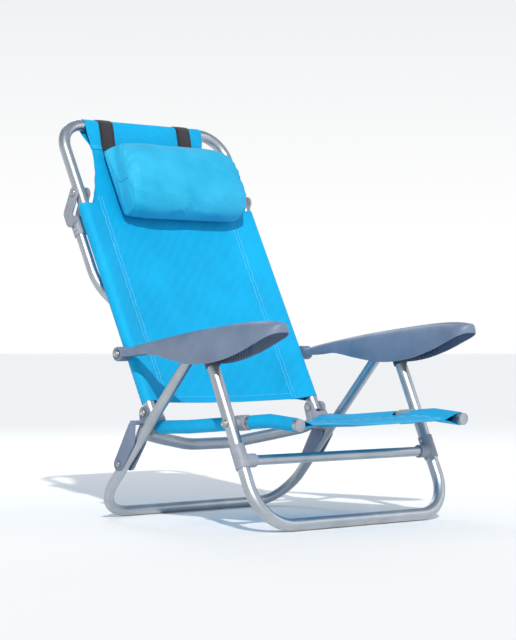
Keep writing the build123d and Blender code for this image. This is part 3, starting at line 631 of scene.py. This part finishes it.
def makeSeatSling():
    size = seatSling
    radius = tubeRadius + 0.0007
    section = clothSection(size["seam"], radius, size["layerGap"])
    across, flatWidth = runLength(section)
    line = size["line"]
    rows, lengthwise = [], []
    start, end = line[0][0], line[-1][0]
    for r in range(size["rows"] + 1):
        y = start + (end - start) * r / size["rows"]
        z = heightAt([(p[0], p[1]) for p in reversed(line)], y)
        share = r / size["rows"]
        hang = 0.55 + 0.45 * math.sin(math.pi * share)
        row = []
        for x, out in section:
            inside = max(0.0, 1 - (x / (tubeX - 0.02)) ** 2)
            plain = 1 if abs(out) < size["layerGap"] * 1.01 else 0
            drop = size["sag"] * hang * inside ** 1.2
            wave = softRipple(x * 1.4, y * 0.7, 0.06, size["ripple"], 3.1) * inside
            pull = 0.0012 * math.exp(-((abs(x) - 0.19) / 0.02) ** 2) * math.sin(y * 190) * plain
            row.append(Vector((x, y, z + out - drop + wave + pull)))
        rows.append(row)
        lengthwise.append(y - start)
    sling = thicken(clothGrid("seatSling", rows, across, lengthwise), size["thickness"])
    cutters = []
    for side in (1, -1):
        ring = []
        for i in range(48):
            a = 2 * math.pi * i / 48
            ring.append(Vector((side * size["notchX"] + size["notch"][0] * math.cos(a),
                                seatPivot.y + size["notch"][1] * math.sin(a), seatPivot.z)))
        cutters.append(prism("notch", ring, Vector((0, 0, -0.04)), Vector((0, 0, 0.04))))
    cutWith(sling, cutters)
    smoothFaces(sling, 40)
    place(sling, "seat", "blue_sling", replaced=["seat_sling"])
    lines = []
    for side in (1, -1):
        for inset in (0.0, 0.007):
            x = side * (tubeX - size["seam"] - inset)
            lines.append([surfacePoint(rows, section, x, r, 0.0009) for r in range(2, len(rows) - 2)])
    for r in (2, len(rows) - 3):
        lines.append([surfacePoint(rows, section, x, r, 0.0009)
                      for x in [(-0.185 + 0.37 * i / 40) for i in range(41)]])
    stitches = sewLines("seatStitches", lines, "seat", "blue_sling")
    return sling, stitches


def surfacePoint(rows, section, x, r, lift):
    # a point just above the plain middle of a sheet, at that x on row r
    plain = [i for i, (sx, out) in enumerate(section) if abs(out) < 1e-6]
    best = min(plain, key=lambda i: abs(section[i][0] - x))
    other = best + 1 if (best + 1 in plain and section[best][0] > x) else best - 1
    if other not in plain:
        other = best
    a, b = rows[r][best], rows[r][other]
    t = 0.0 if other == best else (x - a.x) / (b.x - a.x)
    point = a + (b - a) * t
    up = rows[min(r + 1, len(rows) - 1)][best] - rows[max(r - 1, 0)][best]
    normal = Vector((0, -up.z, up.y)).normalized()
    return point + normal * lift


makeSeatSling()
print("seat sling ready")

# Back sling
backSling = {
    "bottom": 0.022, "sleeveTop": 0.487, "seamUp": 0.640, "seam": 0.047, "layerGap": 0.0014,
    "thickness": 0.0012, "sag": 0.008, "rows": 96, "ripple": 0.0018,
    "cutout": [(0.262, 0.4865), (0.2225, 0.487), (0.208, 0.492), (0.190, 0.527), (0.172, 0.577),
               (0.161, 0.630), (0.1635, 0.660)],
    "bandHalf": 0.168, "waistHalf": 0.1615, "bandSteps": 20,
}


def backDip(x, up):
    # how far the cloth sags behind the plane of the tubes
    inside = max(0.0, 1 - (x / (tubeX - backSling["seam"] + 0.01)) ** 2)
    hold = 1 - smoothStep(up, 0.42, 0.63)
    return backSling["sag"] * inside * (0.25 + 0.75 * hold)


def makeBackSling():
    size = backSling
    radius = tubeRadius + 0.0007
    section = clothSection(size["seam"], radius, size["layerGap"], 34)
    across, flatWidth = runLength(section)
    rows, lengthwise = [], []
    top = size["seamUp"] + 0.004
    for r in range(size["rows"] + 1):
        up = size["bottom"] + (top - size["bottom"]) * r / size["rows"]
        row = []
        for x, out in section:
            inside = max(0.0, 1 - (x / (tubeX - 0.02)) ** 2)
            plain = 1 if abs(out) < size["layerGap"] * 1.01 else 0
            wave = softRipple(x * 1.6, up * 0.8, 0.07, size["ripple"], 8.4) * inside
            pull = 0.0010 * math.exp(-((abs(x) - 0.187) / 0.018) ** 2) * math.sin(up * 170 + x * 8) * plain
            row.append(onBack(x, up, out - backDip(x, up) + wave + pull))
        rows.append(row)
        lengthwise.append(up)
    body = thicken(clothGrid("backSlingBody", rows, across, lengthwise), size["thickness"])
    cutters = []
    curve = curveThrough([Vector((x, up, 0)) for x, up in size["cutout"]], 10)
    for side in (1, -1):
        ring = [onBack(side * p.x, p.y) for p in curve]
        ring += [onBack(side * 0.20, 0.70), onBack(side * 0.30, 0.70), onBack(side * 0.30, 0.4955)]
        cutters.append(prism("cutout", ring, ahead * -0.04, ahead * 0.04))
    cutWith(body, cutters)
    # the band that wraps the top bar, sewn down just above the pillow
    bandRadius = tubeRadius + 0.0008
    reach = barUp - size["seamUp"]
    touch = math.acos(bandRadius / reach)
    side = [(size["seamUp"] - 0.010, 0.0013), (size["seamUp"], 0.0014)]
    near = (barUp - bandRadius * math.cos(touch), bandRadius * math.sin(touch))
    side += [(size["seamUp"] + (near[0] - size["seamUp"]) * t / 6, 0.0014 + (near[1] - 0.0014) * t / 6)
             for t in range(1, 6)]
    for i in range(size["bandSteps"] + 1):
        a = math.pi - touch - (2 * math.pi - 2 * touch) * i / size["bandSteps"]
        side.append((barUp + bandRadius * math.cos(a), bandRadius * math.sin(a)))
    far = side[-1]
    side += [(far[0] + (size["seamUp"] - far[0]) * t / 6, far[1] + (-0.0014 - far[1]) * t / 6)
             for t in range(1, 6)]
    side += [(size["seamUp"], -0.0014), (size["seamUp"] - 0.010, -0.0013)]
    columns = 40
    bandRows, run = [], runLength(side)
    for up, out in side:
        half = size["waistHalf"] + (size["bandHalf"] - size["waistHalf"]) * smoothStep(up, 0.635, 0.675)
        row = []
        for c in range(columns + 1):
            x = half * (1 - 2 * c / columns)
            flat = 1 - smoothStep(up, 0.675, 0.69)
            wave = softRipple(x * 2, up, 0.05, 0.0012, 5.7) * flat
            dip = backDip(x, up) * (1 - smoothStep(up, 0.640, 0.665))
            row.append(onBack(x, up, out - dip + (wave if abs(up - size["seamUp"]) > 0.012 else 0)))
        bandRows.append(row)
    acrossBand = [size["bandHalf"] * (1 - 2 * c / columns) for c in range(columns + 1)]
    band = clothGrid("backSlingBand", bandRows, acrossBand, [r + 0.7 for r in run[0]])
    band = thicken(band, size["thickness"])
    sling = joinPieces("backSling", [body, band])
    smoothFaces(sling, 40)
    place(sling, "back", "blue_sling", replaced=["back_sling"])
    # stitch lines: two along each sleeve seam up to the sleeve's end, one across the bottom, two just below
    # the band seam
    lines = []
    for half in (1, -1):
        for inset in (0.0, 0.009):
            x = half * (tubeX - size["seam"] - inset)
            last = max(r for r in range(len(rows)) if lengthwise[r] < 0.515)
            lines.append([surfacePoint(rows, section, x, r, 0.0010) for r in range(1, last)])
    lines.append([surfacePoint(rows, section, -0.175 + 0.35 * i / 40, 2, 0.0010) for i in range(41)])
    for up in (size["seamUp"] - 0.007, size["seamUp"] - 0.002):
        lines.append([onBack(x, up, 0.0023 - backDip(x, up))
                      for x in [-0.156 + 0.312 * i / 60 for i in range(61)]])
    sewLines("backStitches", lines, "back", "blue_sling")
    return sling


makeBackSling()
print("back sling ready")

# Straps over the top bar
straps = {"width": 0.040, "thickness": 0.0014, "tail": 0.590, "x": (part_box("right_strap")[0].x
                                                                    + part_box("right_strap")[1].x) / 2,
          "columns": 8}


def makeStrap(name, node, x):
    size = straps
    seamUp = backSling["seamUp"]
    radius = tubeRadius + 0.0014 + size["thickness"] / 2 + 0.0002
    touch = math.acos(radius / (barUp - seamUp))
    line = [(size["tail"], 0.0018), (size["tail"] + 0.02, 0.0019), (seamUp - 0.012, 0.0030), (seamUp, 0.0032)]
    near = (barUp - radius * math.cos(touch), radius * math.sin(touch))
    line += [(seamUp + (near[0] - seamUp) * t / 5, 0.0032 + (near[1] - 0.0032) * t / 5) for t in range(1, 5)]
    for i in range(19):
        a = math.pi - touch - (2 * math.pi - 2 * touch) * i / 18
        line.append((barUp + radius * math.cos(a), radius * math.sin(a)))
    far = line[-1]
    line += [(far[0] + (seamUp - far[0]) * t / 5, far[1] + (-0.0032 - far[1]) * t / 5) for t in range(1, 5)]
    line += [(seamUp, -0.0032), (seamUp - 0.03, -0.0030)]
    runs, length = runLength(line)
    rows = []
    for up, out in line:
        row = []
        for c in range(size["columns"] + 1):
            across = size["width"] * (0.5 - c / size["columns"])
            follow = backDip(x + across, up) * (1 - smoothStep(up, 0.640, 0.668))
            row.append(onBack(x + across, up, out - follow + 0.0006 * math.cos(across * 120)))
        rows.append(row)
    acrossUv = [size["width"] * (0.5 - c / size["columns"]) for c in range(size["columns"] + 1)]
    strap = thicken(clothGrid(name, rows, acrossUv, runs), size["thickness"])
    addModifier(strap, "BEVEL", width=0.0004, segments=2, limit_method="ANGLE", angle_limit=math.radians(50))
    bake(strap)
    smoothFaces(strap, 50)
    place(strap, "back", "black_webbing", replaced=[node])
    return strap


makeStrap("leftStrap", "left_strap", -straps["x"])
makeStrap("rightStrap", "right_strap", straps["x"])
print("straps ready")

# Neck pillow
pillow = {
    "low": 0.450, "high": 0.627, "depth": 0.076, "rear": 0.0026, "endTaper": 0.90, "shrink": 0.006,
    "edgeAt": 0.20, "slant": 0.022, "voxel": 0.004, "pressure": 4.0, "frames": 20, "cap": 0.004,
    "pucker": 0.0026, "puckers": 19,
    "piping": 0.0017,
}


def pillowRing(x, scale, size, steps=36):
    # D-shaped section: flat behind, round in front
    middle = (size["low"] + size["high"]) / 2
    half = (size["high"] - size["low"]) / 2 - size["shrink"]
    depth = size["depth"] - size["shrink"] * 1.3
    ring = []
    for i in range(steps):
        a = 2 * math.pi * i / steps
        c, s = math.cos(a), math.sin(a)
        up = half * (c ** 0.92 if c > 0 else -abs(c) ** 0.72)
        edge = depth * size["edgeAt"]
        out = edge - edge * abs(s) ** 0.4 if s < 0 else edge + (depth - edge) * s ** 0.9
        ring.append((middle + up * scale, size["rear"] + 0.004 + out * scale))
    return [onBack(x, up, out) for up, out in ring]


def makePillow():
    size = pillow
    low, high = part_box("pillow")
    left, right = low.x + size["shrink"], high.x - size["shrink"]
    stations = [(left, size["endTaper"]), (left + 0.018, 0.97), (left + 0.05, 1.0)]
    stations += [(left + 0.05 + (right - left - 0.10) * i / 8, 1.0) for i in range(1, 8)]
    stations += [(right - 0.05, 1.0), (right - 0.018, 0.97), (right, size["endTaper"])]
    points, faces = [], []
    steps = 36
    for x, scale in stations:
        points += pillowRing(x, scale, size, steps)
    for r in range(len(stations) - 1):
        for i in range(steps):
            j = (i + 1) % steps
            faces.append((r * steps + i, r * steps + j, (r + 1) * steps + j, (r + 1) * steps + i))
    faces += [tuple(range(steps)), tuple(range(len(points) - 1, len(points) - 1 - steps, -1))]
    cushion = newObject("neckPillow", points, faces)
    work = bmesh.new()
    work.from_mesh(cushion.data)
    bmesh.ops.recalc_face_normals(work, faces=work.faces)
    work.to_mesh(cushion.data)
    work.free()
    addModifier(cushion, "REMESH", mode="VOXEL", voxel_size=size["voxel"])
    bake(cushion)
    begin = [v.co.copy() for v in cushion.data.vertices]
    cloth = addModifier(cushion, "CLOTH")
    cloth.settings.quality = 6
    cloth.settings.mass = 0.3
    cloth.settings.tension_stiffness = 20
    cloth.settings.compression_stiffness = 20
    cloth.settings.bending_stiffness = 0.4
    cloth.settings.use_pressure = True
    cloth.settings.uniform_pressure_force = size["pressure"]
    cloth.settings.effector_weights.gravity = 0
    cloth.collision_settings.use_collision = False
    cloth.point_cache.frame_start = 1
    cloth.point_cache.frame_end = size["frames"]
    for i in range(1, size["frames"] + 1):
        bpy.context.scene.frame_set(i)
    bake(cushion)
    for vertex, was in zip(cushion.data.vertices, begin):
        shift = vertex.co - was
        if shift.length > size["cap"]:
            vertex.co = was + shift * (size["cap"] / shift.length)
    bpy.context.scene.frame_set(1)
    shapePillow(cushion, low, high)
    addModifier(cushion, "SUBSURF", levels=1, render_levels=1)
    bake(cushion)
    smoothFaces(cushion, 60)
    place(cushion, "neck_pillow", "blue_pillow", replaced=["pillow"])
    return cushion


def shapePillow(cushion, low, high):
    # fit to the CAD block, flat against the sling, gathered towards the end seams
    size = pillow
    places = [backPlace(v.co) for v in cushion.data.vertices]
    xs = [v.co.x for v in cushion.data.vertices]
    upLow, upHigh = min(p[0] for p in places), max(p[0] for p in places)
    outHigh = max(p[1] for p in places)
    outLow = min(p[1] for p in places)
    xLow, xHigh = min(xs), max(xs)
    middle = (size["low"] + size["high"]) / 2
    for vertex, (up, out) in zip(cushion.data.vertices, places):
        x = low.x + (high.x - low.x) * (vertex.co.x - xLow) / (xHigh - xLow)
        newUp = size["low"] + (size["high"] - size["low"]) * (up - upLow) / (upHigh - upLow)
        newOut = size["rear"] + (out - outLow) / (outHigh - outLow) * size["depth"]
        fromEnd = min(x - low.x, high.x - x)
        angle = math.atan2(newOut - size["rear"] - size["depth"] / 2, newUp - middle)
        gather = math.exp(-fromEnd / 0.030) * (1 - math.exp(-fromEnd / 0.006))
        fold = size["pucker"] * gather * math.sin(angle * size["puckers"] + 2.5 * math.sin(angle * 3))
        slow = softRipple(x * 1.2, newUp, 0.07, 0.0022, 12.3)
        front = smoothStep(newOut, size["rear"] + 0.006, size["rear"] + 0.03)
        newOut = newOut + (fold + slow) * front
        newUp = newUp + 0.35 * fold * math.cos(angle)
        # the left end is cut on a slant
        slant = size["slant"] * math.exp(-(x - low.x) / 0.05) * front
        slant *= (newUp - size["low"]) / (size["high"] - size["low"])
        newOut = min(size["rear"] + size["depth"], max(size["rear"], newOut))
        vertex.co = onBack(x + slant, min(size["high"], max(size["low"], newUp)), newOut)


def ringAt(obj, x):
    # the closed line where the plane at x crosses a mesh
    work = bmesh.new()
    work.from_mesh(obj.data)
    geometry = work.verts[:] + work.edges[:] + work.faces[:]
    cut = bmesh.ops.bisect_plane(work, geom=geometry, plane_co=(x, 0, 0), plane_no=(1, 0, 0))["geom_cut"]
    edges = [g for g in cut if isinstance(g, bmesh.types.BMEdge)]
    near = {}
    for edge in edges:
        a, b = edge.verts
        near.setdefault(a, []).append(b)
        near.setdefault(b, []).append(a)
    start = next(iter(near))
    ring, last, here = [start.co.copy()], None, start
    while True:
        onward = [v for v in near[here] if v is not last]
        if not onward or onward[0] is start:
            break
        last, here = here, onward[0]
        ring.append(here.co.copy())
    work.free()
    return ring


def makePiping(name, ring, radius, body, slot):
    smooth = [(ring[i - 1] + ring[i] * 2 + ring[(i + 1) % len(ring)]) / 4 for i in range(len(ring))]
    curve = bpy.data.curves.new(name, "CURVE")
    curve.dimensions = "3D"
    curve.bevel_depth = radius
    curve.bevel_resolution = 2
    spline = curve.splines.new("POLY")
    spline.points.add(len(smooth) - 1)
    for point, co in zip(spline.points, smooth):
        point.co = (*co, 1)
    spline.use_cyclic_u = True
    source = bpy.data.objects.new(name, curve)
    bpy.context.scene.collection.objects.link(source)
    mesh = bpy.data.meshes.new_from_object(source)
    dropObject(source)
    obj = bpy.data.objects.new(name, mesh)
    bpy.context.scene.collection.objects.link(obj)
    smoothFaces(obj, 60)
    return place(obj, body, slot)


neckPillow = makePillow()
pillowLow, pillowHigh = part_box("pillow")
for label, x in (("Left", pillowLow.x + 0.010), ("Right", pillowHigh.x - 0.010)):
    makePiping("pillowPiping" + label, ringAt(neckPillow, x), pillow["piping"], "neck_pillow", "blue_pillow")
print("pillow ready")

# Armrests: a crowned shell, hollow underneath, on the lines of the CAD ones
armrest = {
    # side view as (y, z), rear to front
    "top": [(0.184, 0.346), (0.100, 0.3635), (-0.043, 0.386), (-0.190, 0.403), (-0.268, 0.4075),
            (-0.314, 0.4035)],
    "under": [(0.184, 0.336), (0.140, 0.337), (0.075, 0.3415), (0.0, 0.332), (-0.080, 0.323),
              (-0.150, 0.3285), (-0.215, 0.346), (-0.272, 0.369), (-0.314, 0.3865)],
    "wall": 0.003, "noseStart": -0.282, "stations": 90, "columns": 26, "fullness": 2.5,
    "neck": (0.2503, 0.2765), "wide": (0.240, 0.300), "hubRadius": 0.015,
    "ribPitch": 0.007, "ribs": 16, "ribStart": -0.094, "ribSize": (0.0036, 0.003, 0.020),
}
armTopLine = [(p.x, p.y) for p in curveThrough([Vector((*p, 0)) for p in armrest["top"]], 12)]
armUnderLine = [(p.x, p.y) for p in curveThrough([Vector((*p, 0)) for p in armrest["under"]], 12)]


def armWidths(y):
    neck, wide = armrest["neck"], armrest["wide"]
    inner = neck[0] + (wide[0] - neck[0]) * (1 - smoothStep(y, -0.03, 0.062))
    outer = neck[1] + (wide[1] - neck[1]) * (1 - smoothStep(y, -0.09, 0.085))
    nose = armrest["noseStart"]
    tip = armrest["top"][-1][0]
    middle, half = (inner + outer) / 2, (outer - inner) / 2
    if y < nose:
        half *= math.sqrt(max(0.0, 1 - ((nose - y) / (nose - tip)) ** 2))
    return middle, half


def armSection(y, inset, drop):
    middle, half = armWidths(y)
    half = max(0.0, half - inset)
    under = heightAt(armUnderLine, y)
    top = max(under, heightAt(armTopLine, y) - drop)
    full = 2 / armrest["fullness"]
    row = []
    for c in range(armrest["columns"] + 1):
        a = math.pi * (1 - c / armrest["columns"])
        x = middle + half * math.copysign(abs(math.cos(a)) ** full, math.cos(a))
        row.append(Vector((x, y, under + (top - under) * abs(math.sin(a)) ** full)))
    return row


def makeArmrest(name, node, side):
    size = armrest
    rear, tip = size["top"][0][0], size["top"][-1][0]
    wall = size["wall"]
    outer, inner = [], []
    for i in range(size["stations"] + 1):
        t = i / size["stations"]
        t = t if t < 0.9 else 0.9 + 0.1 * math.sin((t - 0.9) / 0.1 * math.pi / 2)  # closer near the nose
        y = rear + (tip - rear) * t
        outer.append(armSection(y, 0.0, 0.0))
        yIn = (rear - 0.004) + (tip + 0.0045 - rear + 0.004) * t
        inner.append(armSection(yIn, wall if i < size["stations"] else 1.0, wall))
    wide = size["columns"] + 1
    points = [p for row in outer for p in row] + [p for row in inner for p in row]
    start = len(outer) * wide
    faces = []
    for r in range(len(outer) - 1):
        for c in range(wide - 1):
            a, b = r * wide + c, r * wide + c + 1
            faces.append((a, b, b + wide, a + wide))
            faces.append((start + a + wide, start + b + wide, start + b, start + a))
        low, high = r * wide, r * wide + wide - 1
        faces.append((low, low + wide, start + low + wide, start + low))
        faces.append((high + wide, high, start + high, start + high + wide))
    for c in range(wide - 1):
        faces.append((c + 1, c, start + c, start + c + 1))
    points = [Vector((side * p.x, p.y, p.z)) for p in points]
    shell = newObject(name, points, faces)
    work = bmesh.new()
    work.from_mesh(shell.data)
    bmesh.ops.remove_doubles(work, verts=work.verts, dist=2e-5)
    bmesh.ops.recalc_face_normals(work, faces=work.faces)
    work.to_mesh(shell.data)
    work.free()
    # boss round the pivot bolt
    radius = size["hubRadius"]
    depth = (size["neck"][1] - size["neck"][0]) / 2
    edge = 0.0016
    profile = [(0.0, -depth), (radius - edge, -depth), (radius - edge * 0.3, -depth + edge * 0.3),
               (radius, -depth + edge), (radius, depth - edge), (radius - edge * 0.3, depth - edge * 0.3),
               (radius - edge, depth), (radius * 0.62, depth), (radius * 0.60, depth - 0.001),
               (0.0, depth - 0.001)]
    hub = lathe(name + "Boss", profile, 40)
    centre = Vector((side * (size["neck"][0] + size["neck"][1]) / 2, armPivot.y, armPivot.z))
    for vertex in hub.data.vertices:
        x, y, z = vertex.co
        vertex.co = centre + Vector((side * z, y * side, x)) if side > 0 else centre + Vector((-z, -y, -x))
    work = bmesh.new()
    work.from_mesh(hub.data)
    bmesh.ops.recalc_face_normals(work, faces=work.faces)
    work.to_mesh(hub.data)
    work.free()
    arm = joinPieces(name, [shell, hub])
    smoothFaces(arm, 38)
    place(arm, "armrests", "slate_plastic", replaced=[node])
    # ratchet ribs on both inner walls
    lines = []
    for wallSide in (-1, 1):
        line = []
        for i in range(size["ribs"] * 2):
            y = size["ribStart"] - size["ribPitch"] * (size["ribs"] - 1) * i / (size["ribs"] * 2 - 1)
            middle, half = armWidths(y)
            x = middle + wallSide * (half - wall - size["ribSize"][0] / 2 * 0.6)
            line.append(Vector((side * x, y, heightAt(armUnderLine, y) + 0.003 + size["ribSize"][2] / 2)))
        lines.append(line)
    ribs = growNodes(lineMesh(name + "Ribs", lines), trees["rib"], {
        "Pitch": size["ribPitch"], "Rib Size": size["ribSize"], "Material": materials["slate_plastic"]})
    place(ribs, "armrests", "slate_plastic")
    return arm


makeArmrest("leftArmrest", "left_armrest", -1)
makeArmrest("rightArmrest", "right_armrest", 1)
print("armrests ready")

# Turned heads on the pivots
heads = {
    # (radius, rise) pairs in mm from the rim inwards
    "ringed": [(7.4, 0), (7.4, 0.9), (6.9, 1.4), (6.0, 1.5), (5.6, 1.0), (4.7, 1.0), (4.3, 1.5),
               (2.6, 1.8), (0, 1.9)],
    "domed": [(4.8, 0), (4.8, 0.4), (4.3, 1.1), (3.2, 1.7), (1.6, 2.1), (0, 2.2)],
    "socket": [(6.4, 0), (6.4, 1.2), (5.9, 1.9), (4.9, 2.2), (3.0, 2.2), (2.7, 0.8), (0, 0.7)],
}


def makeHeads(name, kind, body, spots):
    # spots are (point, facing)
    profile = [(0.0, -0.0002)] + [(r / 1000, h / 1000) for r, h in heads[kind]]
    profile[1] = (heads[kind][0][0] / 1000, -0.0002)
    head = lathe("head", profile, 28)
    points = newObject(name, [p for p, facing in spots], [])
    facings = points.data.attributes.new("facing", "FLOAT_VECTOR", "POINT")
    for item, (point, facing) in zip(facings.data, spots):
        item.vector = facing
    growNodes(points, trees["head"], {"Head": head, "Material": materials["steel_fastener"]})
    dropObject(head)
    smoothFaces(points, 30)
    return place(points, body, "steel_fastener")


def bothFaces(node, y, z, lift=0.0):
    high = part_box(node)[1].x + lift
    return [(Vector((side * high, y, z)), Vector((side, 0, 0))) for side in (1, -1)]


footLow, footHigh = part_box("link_screws")
foot = (footLow + footHigh) / 2
makeHeads("backPivotHeads", "ringed", "back_pins",
          bothFaces("back_pivot_pins", backPivot.y, backPivot.z, -0.0004))
makeHeads("armrestHeads", "ringed", "arm_bolts", bothFaces("armrest_bolts", armPivot.y, armPivot.z, -0.0006))
makeHeads("seatPivotHeads", "ringed", "seat",
          bothFaces("seat_pivot_bolts", seatPivot.y, seatPivot.z, -0.0006))
makeHeads("standHeads", "socket", "rear_stand",
          bothFaces("stand_pivot_screws", standPivot.y, standPivot.z, -0.0008))
makeHeads("linkHeads", "domed", "links", bothFaces("link_screws", foot.y, foot.z, -0.0004))
rivetLow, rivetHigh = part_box("stand_socket_rivets")
rivet = (rivetLow + rivetHigh) / 2
makeHeads("standRivetHeads", "domed", "rear_stand",
          bothFaces("stand_socket_rivets", rivet.y, rivet.z, -0.0006))
print("fasteners ready")

# Floor, light and camera
stageLook = {"floor": "#f6f6f6", "floorRadius": 40.0, "horizon": "#ffffff", "sky": "#a3afbc"}


def makeStage():
    look = stageLook
    ring = [(look["floorRadius"] * math.cos(2 * math.pi * i / 96),
             look["floorRadius"] * math.sin(2 * math.pi * i / 96), -0.0006) for i in range(96)]
    floor = newObject("floor", ring, [tuple(range(96))])
    material, tree, shader = startMaterial("paintedFloor", {"Roughness": 0.9, "Specular IOR Level": 0.1})
    where = addNode(tree, "ShaderNodeTexCoord").outputs["Object"]
    mottle = addNode(tree, "ShaderNodeTexNoise", {"Vector": where, "Scale": 3.0, "Detail": 3.0})
    tree.links.new(mixColours(tree, mottle.outputs["Fac"], linear("#f4f4f4"), linear(look["floor"])),
                   shader.inputs["Base Color"])
    floor.data.materials.append(material)
    world = bpy.data.worlds.new("paleStudio")
    bpy.context.scene.world = world
    world.use_nodes = True
    tree = world.node_tree
    tree.nodes.clear()
    direction = addNode(tree, "ShaderNodeTexCoord").outputs["Generated"]
    height = addNode(tree, "ShaderNodeSeparateXYZ", {0: direction})
    rise = addNode(tree, "ShaderNodeMapRange", {
        "Value": height.outputs[2], "From Min": 0.05, "From Max": 0.55})
    sky = mixColours(tree, rise.outputs[0], linear(look["horizon"]), linear(look["sky"]))
    background = addNode(tree, "ShaderNodeBackground", {"Color": sky, "Strength": 1.0})
    addNode(tree, "ShaderNodeOutputWorld", {"Surface": background.outputs[0]})


def makeLight(name, kind, location, target, energy, size, colour="#ffffff"):
    data = bpy.data.lights.new(name, kind)
    data.energy = energy
    data.color = linear(colour)[:3]
    if kind == "AREA":
        data.shape = "DISK"
        data.size = size
    else:
        data.angle = math.radians(size)
    light = bpy.data.objects.new(name, data)
    bpy.context.scene.collection.objects.link(light)
    light.location = location
    light.rotation_mode = "QUATERNION"
    light.rotation_quaternion = (Vector(target) - Vector(location)).to_track_quat("-Z", "Y")


def makeCamera():
    view = {"location": (-3.1006, -3.2315, 0.3800), "azimuth": -43.428, "elevation": -0.406, "lens": 120.97}
    data = bpy.data.cameras.new("camera")
    data.lens = view["lens"]
    data.sensor_width = 36.0
    camera = bpy.data.objects.new("camera", data)
    bpy.context.scene.collection.objects.link(camera)
    a, e = math.radians(view["azimuth"]), math.radians(view["elevation"])
    away = Vector((math.sin(a) * math.cos(e), -math.cos(a) * math.cos(e), math.sin(e)))
    camera.location = view["location"]
    camera.rotation_mode = "QUATERNION"
    camera.rotation_quaternion = (-away).to_track_quat("-Z", "Y")
    bpy.context.scene.camera = camera


makeStage()
makeLight("sun", "SUN", (-2.1, -2.9, 2.9), (0, 0, 0.3), 2.8, 1.4, "#fff8ee")
makeLight("fill", "AREA", (2.6, -2.4, 1.8), (0, 0, 0.4), 12, 1.6)
makeLight("rim", "AREA", (1.2, 2.8, 2.4), (0, 0.1, 0.4), 22, 1.4)
makeCamera()
bpy.context.scene.view_settings.view_transform = "Standard"
